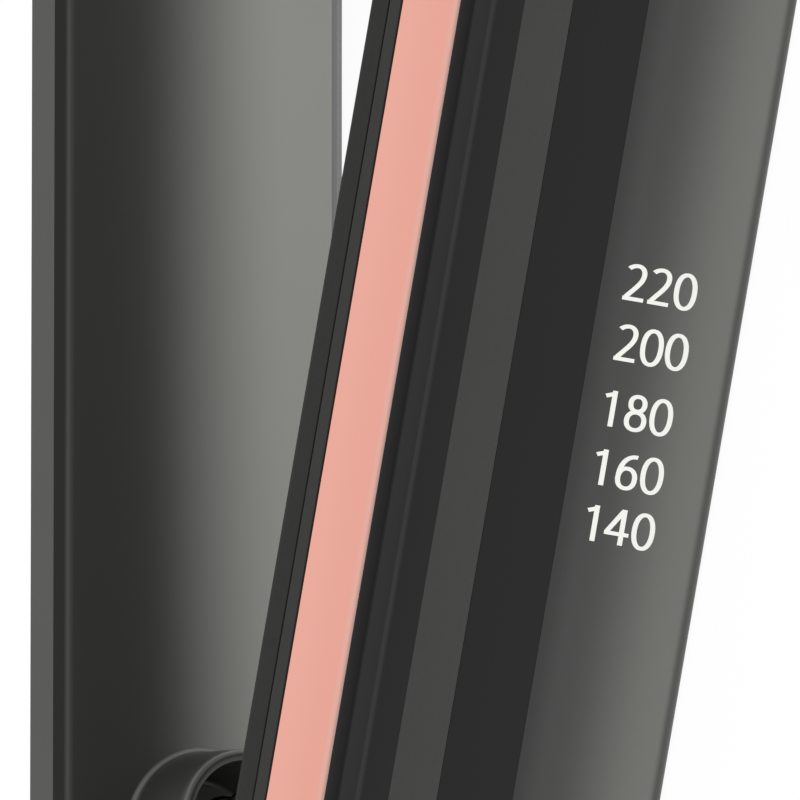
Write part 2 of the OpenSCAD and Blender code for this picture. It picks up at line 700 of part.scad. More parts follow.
module arm_spring() color("#2b2b2b") {
    rings = coils * coil_rings;
    last = rings * wire_sides;
    gap = min([for (i = [0:rings - coil_rings], j = [i + coil_rings - 2:min(i + coil_rings + 2, rings)])
        norm(wire_middle(i / rings) - wire_middle(j / rings))]) - wire_d;
    echo(least_gap_between_coils = gap);
    polyhedron(
        points = [for (i = [0:rings]) each wire_ring(i / rings)],
        faces = concat(
            [for (i = [0:rings - 1], k = [0:wire_sides - 1])
                let (a = i * wire_sides + k, b = i * wire_sides + (k + 1) % wire_sides)
                each [[a, b, b + wire_sides], [a, b + wire_sides, a + wire_sides]]],
            [for (k = [1:wire_sides - 2]) [0, k + 1, k]],
            [for (k = [1:wire_sides - 2]) [last, last + k, last + k + 1]]));
}

// Side of the plain arm seen along the hinge axis, wrapping the hinge barrel
module plain_profile() {
    hull() {
        intersection() {
            circle(knuckle_r);
            block2([-2 * knuckle_r, -2 * knuckle_r], [rim_x, 2 * knuckle_r]);
        }
        translate([plain_x, root_y]) square([rim_x - plain_x, 1]);
    }
    translate([plain_x, root_y]) square([rim_x - plain_x, handle_l - root_y]);
    lip_x = -hot_lip_x;
    polygon([[plain_x, handle_l - 2], [rim_x, handle_l - 2], [rim_x, handle_l - 0.6],
        [-inner_x, handle_l], [lip_x, handle_l + (inner_x - hot_lip_x) / 2 + 1], [lip_x, tip_y],
        [plain_x, tip_y]]);
}

module plain_body() intersection() {
    union() {
        along_y(-cheek_r - 4, handle_l) plain_outline([rim_x, panel_half_w], waist_x);
        along_y(cover_end + seam, handle_l) plain_outline([-inner_x, mid_z - 0.5], waist_x);
        plain_lean() along_y(handle_l, tip_y + 2) plain_outline([2, mid_z], hot_waist, hot_step);
    }
    along_z(-1, arm_w + 1) plain_profile();
}

module plain_shell() opened() color("#4b4d4a") difference() {
    union() {
        difference() {
            plain_body();
            along_y(root_y + 0.8, handle_l - 1.2) translate([0, mid_z]) offset(delta = -shell_wall)
                translate([back_wall - shell_wall, -mid_z]) plain_outline([6, mid_z], waist_x);
            block([plain_x + back_wall, handle_l - 1.3, mid_z - back_half],
                [rim_x, handle_l + 2, mid_z + back_half]);
            plain_lean() along_y(handle_l, arm_l) translate([0, mid_z]) offset(delta = -shell_wall)
                translate([back_wall - shell_wall, -mid_z]) plain_outline([6, mid_z], hot_waist);
            // Clear of the cheeks
            for (z = [-1, knuckle_z1]) translate([0, 0, z])
                cylinder(r = cheek_r + run_gap + 0.2, h = knuckle_z0 + 1);
        }
        // Knuckle with its web
        along_z(knuckle_z0, knuckle_z1) {
            circle(knuckle_r);
            hull() {
                translate([-5.6, 0]) circle(5);
                translate([plain_x + 1, root_y]) square([rim_x - plain_x - 1.2, 1]);
            }
        }
        for (dz = [-screw_dz, screw_dz])
            rod_x(screw_y, mid_z + dz, post_r, plain_x + back_wall - 0.5, rim_x - 1.4);
        for (y = rib_y) block([plain_x + back_wall + 0.5, y, mid_z - back_half],
            [-carrier_x1 - seam, y + rib_t, mid_z + back_half]);
    }
    // Seat of the inner cover
    along_y(cover_y + 2 - seam, cover_end + seam) block2([rim_x - locate_d - seam, mid_z - locate_w - seam],
        [0, mid_z + locate_w + seam]);
    translate([0, 0, -1]) cylinder(r = bush_r, h = arm_w + 2);
    catch_bar(seam);
    for (dz = [-screw_dz, screw_dz]) screw_room(mid_z + dz, screw_face, -1);
}

module plain_inner_cover() opened() color("#5d5e5b") difference() {
    union() {
        along_y(cover_y + 2, cover_end) {
            chord_r = (pow(panel_face_w / 2, 2) + pow(panel_crown, 2)) / (2 * panel_crown);
            half_a = asin(panel_face_w / 2 / chord_r);
            polygon(concat([[rim_x, mid_z - panel_half_w], [rim_x + 0.01, mid_z - panel_half_w]],
                arc(-inner_x + panel_crown - chord_r, mid_z, chord_r, -half_a, half_a, 16),
                [[rim_x + 0.01, mid_z + panel_half_w], [rim_x, mid_z + panel_half_w]]));
            block2([rim_x - locate_d, mid_z - locate_w], [rim_x + 0.2, mid_z + locate_w]);
        }
        // Spring cup
        x0 = -inner_x + panel_crown;
        translate([x0 - 1, spring_y, mid_z]) rotate([0, 90, 0])
            cylinder(r1 = cup_foot_r + (cup_foot_r - cup_rim_r) / cup_h, r2 = cup_rim_r, h = cup_h + 1);
        rod_x(spring_y, mid_z, cup_pocket_r + 1.4, x0 + cup_h - cup_depth - 1.4, x0);
    }
    rod_x(spring_y, mid_z, cup_pocket_r, -inner_x + panel_crown + cup_h - cup_depth, inner_x);
    for (dz = [-screw_dz, screw_dz]) screw_room(mid_z + dz, screw_face, -1);
}

module plain_screws() opened() color("#2a2a2a") for (dz = [-screw_dz, screw_dz])
    screw(mid_z + dz, screw_face, -1);

module plain_tip() opened() color("#2c2c2c") {
    x0 = plain_x + (tip_y - handle_l) * tan(plain_taper);
    intersection() {
        plain_lean() along_y(handle_l, arm_l + 2) plain_outline([2, mid_z], hot_waist, hot_step);
        mirror([1, 0, 0]) tip_rounding(hot_lip_x, -x0, end_r);
        block([plain_x - 1, tip_y, -1], [-hot_lip_x, arm_l + 1, arm_w + 1]);
    }
    block([x0 + back_wall + 1.4, tip_y - tongue_l, mid_z - back_half + 1],
        [-carrier_x1 - 0.6, tip_y + 1, mid_z + back_half - 1]);
}

module plain_carrier() plain_side() color("#3b3a38") carrier();
module plain_pads() plain_side() color("#b5523c") pads();
module plain_plate() plain_side() color("#5a5653") plate();
module plain_heater() plain_side() color("#d9d4c8") heater();

module plain_leads() plain_side() color("#7a2f2a") for (dz = [-wire_dz, wire_dz]) {
    x = -plain_x - back_wall - wire_r - 0.3;
    rod_y(x, mid_z + dz, wire_r, root_y + 1.5, plate_y0 + rib_end / 2);
}

// Bar of the lock catch, or with a gap round it the groove that holds it in the knuckle
module catch_bar(gap) rotate([0, 0, catch_turn]) block([catch_foot - gap, -catch_w / 2 - gap, catch_z0 - gap],
    [catch_r, catch_w / 2 + gap, knuckle_z1 + gap]);

module lock_catch() opened() color("#b9bcbe") intersection() {
    catch_bar(0);
    cylinder(r = catch_r, h = arm_w);
}

module hinge_bushes() opened() color("#9a7b45") for (z = [knuckle_z0, knuckle_z1 - bush_l])
    translate([0, 0, z]) difference() {
        cylinder(r = bush_r, h = bush_l);
        translate([0, 0, -1]) cylinder(r = pin_r + pin_gap, h = bush_l + 2);
    }

control_shell();
gloss_panel();
panel_stripe();
side_trim();
control_inner_cover();
control_screws();
control_tip();
control_carrier();
control_pads();
control_plate();
control_heater();
thermistor();
control_board();
tact_switches();
light_guide();
supply_leads();
control_leads();
power_button();
minus_button();
plus_button();
lock_slider();
cord_swivel();
hinge_pin();
hinge_caps();
arm_spring();
plain_shell();
plain_inner_cover();
plain_screws();
plain_tip();
plain_carrier();
plain_pads();
plain_plate();
plain_heater();
plain_leads();
hinge_bushes();
lock_catch();
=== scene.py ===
"""Hair straightener lying open on its side, dressed and set before the camera.

Shapes are worked out in millimetres in the frame's own axes: +Y runs along the control arm to its
tip, +X is that arm's outer side and +Z is the hinge axis, upright. The plain arm's pieces are worked
out closed against the control arm and then swung open about the hinge axis.
"""

import json
import logging
import math
from collections.abc import Callable
from dataclasses import dataclass
from enum import Enum

import bmesh
import bpy
import numpy as np
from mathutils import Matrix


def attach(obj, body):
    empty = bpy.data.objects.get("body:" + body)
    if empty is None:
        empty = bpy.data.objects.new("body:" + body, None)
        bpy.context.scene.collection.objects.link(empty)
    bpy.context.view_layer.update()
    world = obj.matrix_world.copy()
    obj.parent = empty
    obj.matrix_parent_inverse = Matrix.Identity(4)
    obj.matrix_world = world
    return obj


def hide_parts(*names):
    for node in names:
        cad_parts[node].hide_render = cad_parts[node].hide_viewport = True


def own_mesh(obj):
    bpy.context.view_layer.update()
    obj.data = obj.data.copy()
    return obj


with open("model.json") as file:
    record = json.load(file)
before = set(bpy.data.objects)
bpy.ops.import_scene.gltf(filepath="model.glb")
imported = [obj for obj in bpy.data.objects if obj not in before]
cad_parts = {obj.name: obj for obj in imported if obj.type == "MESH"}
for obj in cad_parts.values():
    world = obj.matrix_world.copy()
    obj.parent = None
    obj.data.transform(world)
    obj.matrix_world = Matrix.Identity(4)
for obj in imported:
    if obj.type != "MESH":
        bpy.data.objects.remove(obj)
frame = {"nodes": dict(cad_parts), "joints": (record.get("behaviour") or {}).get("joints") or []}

Array = np.ndarray
Socket = bpy.types.NodeSocket
LOG = logging.getLogger("straightener")
MM = 0.001

# Distance within which two points are one, and below which an edge has no length, in millimetres
ONE_POINT = 0.002
NO_LENGTH = 0.001

# Values that most of a noise lies between
NOISE_LOW, NOISE_HIGH = 0.3, 0.7


def low_high(node: str, turn: float = 0.0) -> tuple[Array, Array]:
    """Corners of a node of the frame, in millimetres.

    Args:
        node: Name of the node.
        turn: Angle about the hinge axis to turn it by before it is measured, in radians.

    Returns:
        The lowest and the highest corner.
    """
    mesh = frame["nodes"][node].data
    points = np.empty(len(mesh.vertices) * 3, np.float32)
    mesh.vertices.foreach_get("co", points)
    points = swung(points.reshape(-1, 3) / MM, turn)
    return points.min(0), points.max(0)


def swung(points: Array, turn: float) -> Array:
    """Turns points about the hinge axis: x and y mix by the cosine and sine of the angle, z stays."""
    c, s = math.cos(turn), math.sin(turn)
    return points @ np.array([[c, s, 0.0], [-s, c, 0.0], [0.0, 0.0, 1.0]])


OPEN = math.radians(next(j for j in frame["joints"] if j["name"] == "arm_hinge")["range_deg"][1])


def unit(vectors: Array) -> Array:
    """Vectors divided by their lengths."""
    return vectors / np.linalg.norm(vectors, axis=-1, keepdims=True)


def bow(centre: tuple[float, float], radius: float, start: float, end: float, steps: int = 8) -> Array:
    """Part of a circle: the centre plus the radius times the cosine and the sine of each angle.

    Args:
        centre: Middle of the circle.
        radius: Its radius.
        start: First angle, in degrees.
        end: Last angle, in degrees.
        steps: Number of sides.

    Returns:
        steps + 1 points of two values.
    """
    angles = np.radians(np.linspace(start, end, steps + 1))
    return np.array(centre) + radius * np.stack([np.cos(angles), np.sin(angles)], axis=1)


def rounded(corners: list[tuple[float, float, float]], steps: int = 6) -> Array:
    """Outline with rounded corners.

    Each corner is cut back by its radius over the tangent of half its angle. Between the two cuts the
    round turns evenly about a centre on the corner's bisector, at the radius over the sine.

    Args:
        corners: Points of the outline, each with the radius of its corner.
        steps: Number of sides in each round.

    Returns:
        The points of the rounded outline.
    """
    table = np.array(corners, float)
    points, radii = table[:, :2], table[:, 2:]
    before = unit(np.roll(points, 1, axis=0) - points)
    after = unit(np.roll(points, -1, axis=0) - points)
    half = np.arccos(np.clip((before * after).sum(1, keepdims=True), -1, 1)) / 2
    centre = points + unit(before + after) * radii / np.sin(half)
    first = points + before * radii / np.tan(half) - centre
    last = points + after * radii / np.tan(half) - centre
    share = np.linspace(0, 1, steps + 1)
    sweep = np.pi - 2 * half
    near = (np.sin((1 - share) * sweep) / np.sin(sweep))[..., None]
    far = (np.sin(share * sweep) / np.sin(sweep))[..., None]
    return (centre[:, None] + near * first[:, None] + far * last[:, None]).reshape(-1, 2)


def inset(outline: Array, depth: float) -> Array:
    """Outline moved inwards: each point goes along the mean of its sides' normals, further at a corner.

    Args:
        outline: Closed outline.
        depth: How far its sides move.

    Returns:
        The points of the new outline.
    """
    ahead = unit(np.roll(outline, -1, axis=0) - outline)
    behind = np.roll(ahead, 1, axis=0)
    area = np.cross(outline, np.roll(outline, -1, axis=0)).sum()
    quarter = np.array([[0.0, 1.0], [-1.0, 0.0]]) * math.copysign(1.0, area)
    mean = unit(ahead @ quarter + behind @ quarter)
    reach = depth / (mean * (ahead @ quarter)).sum(1, keepdims=True)
    return outline + mean * reach


def along_arm(outline: Array, start: float, end: float, edge: float, steps: int = 3) -> Array:
    """Rings of an outline in x and z that is carried along the arm, with rounded ends.

    At angle a of an end's round the ring lies edge (1 - cos a) in from the end's plane and is inset
    by edge (1 - sin a).

    Args:
        outline: Closed outline, points of x and z.
        start: Lowest y.
        end: Highest y.
        edge: Radius of the round at both ends.
        steps: Number of rings in each round.

    Returns:
        Array of rings, points and x, y, z.
    """
    angles = np.linspace(0, np.pi / 2, steps + 1)
    depths = edge * (1 - np.sin(angles))
    offsets = edge * (1 - np.cos(angles))
    places = np.concatenate([start + offsets, end - offsets[::-1]])
    rings = np.stack([inset(outline, d) for d in np.concatenate([depths, depths[::-1]])])
    y = np.broadcast_to(places[:, None], rings.shape[:2])
    return np.stack([rings[..., 0], y, rings[..., 1]], axis=-1)


class Axis(Enum):
    """Direction that a turned piece is turned about: which of x, y and z its height, side and rise are."""

    ACROSS = (0, 1, 2)
    ALONG = (1, 2, 0)
    UP = (2, 0, 1)


def turned(profile: Array, centre: tuple[float, float, float], axis: Axis, steps: int = 96) -> Array:
    """Rings of a profile turned about an axis: height along it, radius by cosine and sine round it.

    Args:
        profile: Points of radius and height.
        centre: Point that the heights start from.
        axis: Direction of the heights.
        steps: Number of points in each ring.

    Returns:
        Array of rings, points and x, y, z.
    """
    angles = np.linspace(0, 2 * np.pi, steps, endpoint=False)
    rings = np.empty((len(profile), steps, 3))
    height, side, rise = axis.value
    rings[..., height] = profile[:, 1:2]
    rings[..., side] = profile[:, 0:1] * np.cos(angles)
    rings[..., rise] = profile[:, 0:1] * np.sin(angles)
    return rings + np.array(centre)


class Shape:
    """A surface gathered from grids and caps of points, in millimetres."""

    def __init__(self) -> None:
        """Starts with no points and no faces."""
        self.points: list[Array] = []
        self.faces: list[list[int]] = []
        self.count = 0

    def grid(self, points: Array, around: bool = True) -> "Shape":
        """Adds a sheet of four-sided faces.

        Args:
            points: Array of rows, columns and x, y, z.
            around: Whether the last column joins the first.

        Returns:
            The shape itself.
        """
        rows, columns = points.shape[:2]
        index = np.arange(rows * columns).reshape(rows, columns) + self.count
        if around:
            index = np.concatenate([index, index[:, :1]], axis=1)
        quads = np.stack([index[:-1, :-1], index[:-1, 1:], index[1:, 1:], index[1:, :-1]], axis=-1)
        self.faces += quads.reshape(-1, 4).tolist()
        self.points.append(points.reshape(-1, 3))
        self.count += rows * columns
        return self

    def cap(self, loop: Array) -> "Shape":
        """Adds one face over a loop of points.

        Args:
            loop: The points.

        Returns:
            The shape itself.
        """
        self.faces.append(list(range(self.count, self.count + len(loop))))
        self.points.append(loop)
        self.count += len(loop)
        return self

    def solid(self, rings: Array) -> "Shape":
        """Adds a row of rings with a cap over each end."""
        return self.grid(rings).cap(rings[0]).cap(rings[-1])

    def drawn(self, rings: Array) -> "Shape":
        """Adds a stroke's rings, with end caps unless its last ring meets its first."""
        return self.grid(rings) if np.allclose(rings[0], rings[-1]) else self.solid(rings)

    def piece(self, name: str, turn: float = 0.0, sharp: float = 35.0) -> bpy.types.Object:
        """Makes the piece: points that meet are merged, faces turned outwards and smooth edges marked.

        Args:
            name: Name of the piece.
            turn: Angle about the hinge axis to swing it by, in radians.
            sharp: Angle from which an edge is drawn sharp, in degrees.

        Returns:
            The new object, at the origin.
        """
        points = swung(np.concatenate(self.points), turn) * MM
        mesh = bpy.data.meshes.new(name)
        mesh.from_pydata(points.tolist(), [], self.faces)
        merged(mesh)
        return placed(name, mesh, sharp)


def merged(mesh: bpy.types.Mesh, flat: float = 0.0) -> None:
    """Merges a mesh's doubles and turns its faces outwards.

    Args:
        mesh: The mesh to change.
        flat: Angle below which neighbouring faces become one, in degrees, or 0 to leave them.
    """
    work = bmesh.new()
    work.from_mesh(mesh)
    bmesh.ops.remove_doubles(work, verts=work.verts, dist=ONE_POINT * MM)
    bmesh.ops.dissolve_degenerate(work, edges=work.edges, dist=NO_LENGTH * MM)
    if flat:
        bmesh.ops.dissolve_limit(work, angle_limit=math.radians(flat), verts=work.verts, edges=work.edges)
    bmesh.ops.recalc_face_normals(work, faces=work.faces)
    work.to_mesh(mesh)
    work.free()


def placed(name: str, mesh: bpy.types.Mesh, sharp: float) -> bpy.types.Object:
    """Links a mesh as a smooth piece.

    Args:
        name: Name of the piece.
        mesh: Its mesh.
        sharp: Angle from which an edge is drawn sharp, in degrees.

    Returns:
        The new object.
    """
    mesh.shade_smooth()
    mesh.set_sharp_from_angle(angle=math.radians(sharp))
    piece = bpy.data.objects.new(name, mesh)
    bpy.context.scene.collection.objects.link(piece)
    return piece


@dataclass(frozen=True)
class Rounding:
    """Rounding of a copied node's edges: its width in millimetres, the angle in degrees from which an
    edge gets it, and its number of faces."""

    width: float
    sharp: float = 32.0
    steps: int = 2


# Edges of the shells, the inner cover, the carriers and the tips
SHELL_EDGE = Rounding(0.18)
COVER_EDGE = Rounding(0.06)
CARRIER_EDGE = Rounding(0.1)
TIP_EDGE = Rounding(0.8, 25.0, 4)


def softened(node: str, name: str, edge: Rounding,
        mend: Callable[[bpy.types.Mesh], None] | None = None) -> bpy.types.Object:
    """Copy of a node of the frame with its doubles merged, its flats joined and its edges rounded.

    Args:
        node: Name of the node that is copied.
        name: Name of the new piece.
        edge: Rounding of its edges.
        mend: Change to make to the mesh before its flats are joined.

    Returns:
        The new object.
    """
    mesh = frame["nodes"][node].data.copy()
    mesh.materials.clear()
    for layer in [a.name for a in mesh.attributes if a.name.startswith("custom_normal")]:
        mesh.attributes.remove(mesh.attributes[layer])
    merged(mesh)
    if mend:
        mend(mesh)
    merged(mesh, flat=1.0)
    piece = placed(name, mesh, edge.sharp)
    bevel = piece.modifiers.new("rounded_edges", "BEVEL")
    bevel.width = edge.width * MM
    bevel.segments = edge.steps
    bevel.limit_method = "ANGLE"
    bevel.angle_limit = math.radians(edge.sharp)
    bevel.harden_normals = False
    bevel.use_clamp_overlap = True
    shading = piece.modifiers.new("even_shading", "WEIGHTED_NORMAL")
    shading.keep_sharp = False
    return piece


def linear(colour: str) -> tuple[float, float, float, float]:
    """Linear colour of an sRGB value: a low level over 12.92, and a higher one's power of 2.4.

    Args:
        colour: Hex value such as #808080.

    Returns:
        Red, green, blue and full cover.
    """
    parts = np.array([int(colour[i : i + 2], 16) for i in (1, 3, 5)]) / 255
    light = np.where(parts <= 0.04045, parts / 12.92, ((parts + 0.055) / 1.055) ** 2.4)
    return (*light.tolist(), 1.0)


def blank_tree(owner: bpy.types.Material | bpy.types.World) -> bpy.types.NodeTree:
    """Turns on the nodes of a material or the world and clears them away.

    Args:
        owner: The material or world.

    Returns:
        Its empty node tree.
    """
    owner.use_nodes = True
    owner.node_tree.nodes.clear()
    return owner.node_tree


def add(tree: bpy.types.NodeTree, kind: str, settings: dict | None = None,
        inputs: dict | None = None) -> bpy.types.Node:
    """Adds a shader node with its settings and links.

    Args:
        tree: Node tree that gets the node.
        kind: Type of the node without its ShaderNode prefix.
        settings: Properties of the node and their values.
        inputs: Input names or numbers, each with a value or the socket that feeds it.

    Returns:
        The new node.
    """
    made = tree.nodes.new("ShaderNode" + kind)
    for key, value in (settings or {}).items():
        setattr(made, key, value)
    for key, value in (inputs or {}).items():
        if isinstance(value, Socket):
            tree.links.new(value, made.inputs[key])
        else:
            made.inputs[key].default_value = value
    return made


class Grain(Enum):
    """How a surface was made, as the stretch of its grain along x, y and z."""

    MOULDED = (1.0, 1.0, 1.0)
    DRAWN = (1.0, 0.04, 1.0)
    CROSS_DRAWN = (1.0, 1.0, 0.05)


@dataclass(frozen=True)
class Fade:
    """Tone that covers the surface along one direction, or in rings about a line through a point; in
    these finishes it lays painted light and shade. Its stops are of a place in millimetres, a colour
    and how much of the tone below it hides. Each pair of its span holds a place along the arm where it
    isn't laid and one from which it is."""

    along: tuple[float, float, float]
    stops: tuple[tuple[float, str, float], ...]
    about: tuple[float, float, float] | None = None
    span: tuple[tuple[float, float], ...] = ()

    def reach(self, tree: bpy.types.NodeTree, place: Socket) -> Socket:
        """Distance of a place along the fade's direction or, with a point given, out from that line.

        Args:
            tree: Node tree of the material.
            place: Object coordinates.

        Returns:
            The socket that carries the distance, in metres.
        """
        if self.about is None:
            return add(tree, "VectorMath", {"operation": "DOT_PRODUCT"}, {0: place, 1: self.along}).outputs[1]
        centre = tuple(value * MM for value in self.about)
        from_line = add(tree, "VectorMath", {"operation": "SUBTRACT"}, {0: place, 1: centre})
        across = add(tree, "VectorMath", {"operation": "CROSS_PRODUCT"},
            {0: from_line.outputs[0], 1: self.along})
        return add(tree, "VectorMath", {"operation": "LENGTH"}, {0: across.outputs[0]}).outputs[1]

    def over(self, tree: bpy.types.NodeTree, place: Socket, below: Socket) -> Socket:
        """Lays the fade over a colour.

        Args:
            tree: Node tree of the material.
            place: Object coordinates.
            below: Colour that is covered.

        Returns:
            The socket that carries the covered colour.
        """
        start, end = self.stops[0][0], self.stops[-1][0]
        share = add(tree, "MapRange", None,
            {"Value": self.reach(tree, place), "From Min": start * MM, "From Max": end * MM})
        ramp = add(tree, "ValToRGB", None, {"Fac": share.outputs[0]})
        ramp.color_ramp.interpolation = "EASE"
        while len(ramp.color_ramp.elements) < len(self.stops):
            ramp.color_ramp.elements.new(1.0)
        for element, (position, colour, cover) in zip(ramp.color_ramp.elements, self.stops):
            element.position = (position - start) / (end - start)
            element.color = (*linear(colour)[:3], cover)
        laid = ramp.outputs["Alpha"]
        for bare, full in self.span:
            along_arm = add(tree, "SeparateXYZ", None, {0: place}).outputs[1]
            inside = add(tree, "MapRange", {"interpolation_type": "SMOOTHSTEP"},
                {"Value": along_arm, "From Min": bare * MM, "From Max": full * MM})
            laid = add(tree, "Math", {"operation": "MULTIPLY"}, {0: laid, 1: inside.outputs[0]}).outputs[0]
        return add(tree, "Mix", {"data_type": "RGBA"},
            {0: laid, 6: below, 7: ramp.outputs["Color"]}).outputs[2]


@dataclass(frozen=True)
class Finish:
    """One real material and how its surface was made.

    The tones are two close colours that the surface drifts between over drift millimetres. The grain
    has a size and a relief in millimetres, and the roughness wanders by its spread. Flakes of the
    glitter's colour lie flake millimetres apart, full up to the first share of that and gone at the
    second.
    """

    name: str
    tones: tuple[str, str]
    roughness: float
    spread: float = 0.04
    drift: float = 9.0
    grain: Grain = Grain.MOULDED
    grain_size: float = 0.35
    relief: float = 0.004
    metallic: float = 0.0
    specular: float = 0.5
    coat: float = 0.0
    coat_roughness: float = 0.1
    clear: float = 0.0
    glitter: str = ""
    flake: float = 0.25
    flake_edge: tuple[float, float] = (0.1, 0.22)
    fades: tuple[Fade, ...] = ()

    def material(self) -> bpy.types.Material:
        """Builds the finish once, as a procedural material on Object coordinates.

        Returns:
            The material.
        """
        found = bpy.data.materials.get(self.name)
        if found:
            return found
        made = bpy.data.materials.new(self.name)
        tree = blank_tree(made)
        place = add(tree, "TexCoord").outputs["Object"]
        drift = add(tree, "TexNoise", None, {"Vector": place, "Scale": 1 / (self.drift * MM), "Detail": 3.0})
        stretch = add(tree, "Mapping", None, {"Vector": place, "Scale": self.grain.value})
        fine = add(tree, "TexNoise", None,
            {"Vector": stretch.outputs[0], "Scale": 1 / (self.grain_size * MM), "Detail": 2.0})
        colour = self.tone(tree, place, drift.outputs[0])
        rough = add(tree, "MapRange", None,
            {"Value": fine.outputs[0], "From Min": NOISE_LOW, "From Max": NOISE_HIGH,
                "To Min": self.roughness - self.spread, "To Max": self.roughness + self.spread})
        bump = add(tree, "Bump", None,
            {"Height": fine.outputs[0], "Distance": self.relief * MM, "Strength": 1.0})
        shader = add(tree, "BsdfPrincipled", None, {
            "Base Color": colour, "Roughness": rough.outputs[0], "Normal": bump.outputs[0],
            "Metallic": self.metallic, "Specular IOR Level": self.specular, "Coat Weight": self.coat,
            "Coat Roughness": self.coat_roughness, "Transmission Weight": self.clear})
        add(tree, "OutputMaterial", None, {"Surface": shader.outputs[0]})
        return made

    def tone(self, tree: bpy.types.NodeTree, place: Socket, drift: Socket) -> Socket:
        """Colour of the surface: its two tones mixed by the drift, then its fades and its glitter.

        Args:
            tree: Node tree of the material.
            place: Object coordinates.
            drift: Slow noise.

        Returns:
            The socket that carries the colour.
        """
        mixed = add(tree, "Mix", {"data_type": "RGBA"},
            {0: drift, 6: linear(self.tones[0]), 7: linear(self.tones[1])}).outputs[2]
        for fade in self.fades:
            mixed = fade.over(tree, place, mixed)
        if self.glitter:
            flakes = add(tree, "TexVoronoi", None, {"Vector": place, "Scale": 1 / (self.flake * MM)})
            full, gone = self.flake_edge
            bright = add(tree, "MapRange", None,
                {"Value": flakes.outputs["Distance"], "From Min": gone, "From Max": full})
            mixed = add(tree, "Mix", {"data_type": "RGBA"},
                {0: bright.outputs[0], 6: mixed, 7: linear(self.glitter)}).outputs[2]
        return mixed

    def dress(self, piece: bpy.types.Object) -> None:
        """Gives the piece this finish all over."""
        piece.data.materials.clear()
        piece.data.materials.append(self.material())


# Moulded ABS with a satin paint: an even graphite skin with a soft sheen
GRAPHITE_PAINT = Finish("graphite_paint_on_abs", ("#555653", "#595a57"), 0.42, drift=14)
# The same paint on the control arm. Between the tail and the hot end painted light is laid into
# its colour: painted shade deepens it beside the gloss panel and along the skirt, a painted
# reflection lightens it towards its lower long edge, and a line of painted shade darkens that edge
TOP_PAINT = Finish("graphite_paint_on_top_with_painted_light", ("#575854", "#5b5c58"), 0.40, drift=14, fades=(
    Fade((0.0, 0.0, 1.0), ((1.2, "#3c3d3a", 0.9), (1.95, "#6b6c67", 0.9), (12.6, "#2f302f", 0.9),
        (15.7, "#121212", 0.9), (16.8, "#434441", 0.9), (30.5, "#434441", 0.9), (31.5, "#151614", 0.9)),
        span=((20.0, 50.0), (140.0, 134.0))),))
# Metallic satin lacquer over the inner panel, with painted light laid into its colour: a painted
# reflection that darkens it towards its upper edge and lightens it towards the lower one, painted
# shade on its sloped edges, a painted highlight in a fine line where the slope meets the face,
# painted highlights and painted shade in rings up the cup, and painted light over the cup's
# shadowed pocket
PANEL_LACQUER = Finish("graphite_metallic_lacquer_with_painted_light", ("#7b7b77", "#7f7f7b"), 0.34, 0.02, metallic=0.4,
    drift=22, grain_size=0.2, relief=0.0008, fades=(
        Fade((0.0045, -0.0145, 1.0), ((5.9, "#979792", 0.9), (22.0, "#353535", 0.9))),
        Fade((0.0, 0.0, 1.0), ((1.45, "#282827", 1.0), (2.5, "#282827", 1.0), (2.75, "#84847f", 0.0),
            (29.7, "#2b2b2b", 0.0), (29.88, "#4c4c4a", 1.0), (30.04, "#4c4c4a", 1.0),
            (30.22, "#282827", 1.0), (30.95, "#282827", 1.0))),
        Fade(tuple(swung(np.array([1.0, 0.0, 0.0]), OPEN).tolist()), (
            (6.1, "#9a9a96", 1.0), (6.35, "#585855", 1.0), (6.55, "#585855", 1.0), (6.8, "#343433", 1.0),
            (7.05, "#737370", 1.0), (7.25, "#737370", 1.0), (7.5, "#343433", 0.0), (8.1, "#343433", 0.0),
            (8.35, "#6c6c68", 1.0), (8.5, "#6c6c68", 1.0), (8.75, "#343433", 0.0)),
            about=tuple(swung(np.array([0.0, 59.2, 16.2]), OPEN).tolist()))))
# Charcoal ABS with a fine spark-eroded grain, nearly matt
CHARCOAL_ABS = Finish("charcoal_moulded_abs", ("#222321", "#262725"), 0.5, specular=0.3)
# Black acrylic under gloss varnish: deep black with a clear, faint reflection. A painted reflection
# greys the round of its long edge, and painted shade takes the side below it darker still
PIANO_BLACK = Finish("piano_black_acrylic_with_painted_light", ("#0a0a0a", "#0c0c0b"), 0.05, 0.01, relief=0.0, specular=0.26,
    fades=(Fade((0.0, 0.0, 1.0), ((30.6, "#0b0b0b", 0.0), (31.1, "#262626", 1.0), (32.25, "#292929", 1.0),
        (32.4, "#040404", 1.0))),))
# Screen-printed satin ink on acrylic: an even dark grey that doesn't mirror
SATIN_INK = Finish("satin_ink_on_acrylic", ("#2d2d2c", "#30302f"), 0.55, relief=0.001)
# Rose lacquer over moulded ABS: a soft pink with a low sheen. Painted shade deepens it a little
# towards the arm's outer side, and over the bevel on that side a painted highlight pales it and
# painted shade then greys it
ROSE_LACQUER = Finish("rose_lacquer_on_abs_with_painted_light", ("#eba797", "#e8a292"), 0.38, drift=30, relief=0.001, fades=(
    Fade((1.0, 0.0, 0.0), ((10.5, "#efac9c", 0.5), (17.5, "#e6a090", 0.5), (18.3, "#e3aa9d", 0.9),
        (18.9, "#b79c93", 0.9))),))
# Pad-printed ink: flat warm white, slightly raised
PRINT_WHITE = Finish("white_pad_print_ink", ("#f6f6f1", "#f2f2ed"), 0.6, grain_size=0.15, relief=0.001)
# Charcoal ABS, smoother where fingers polish it
BUTTON_ABS = Finish("button_moulded_abs", ("#3a3b39", "#3f403e"), 0.38)
# Heat-resistant polyamide of the tips: matt and a little coarse
TIP_POLYAMIDE = Finish("matt_polyamide", ("#2b2b2b", "#30302f"), 0.58, grain_size=0.3, relief=0.01)
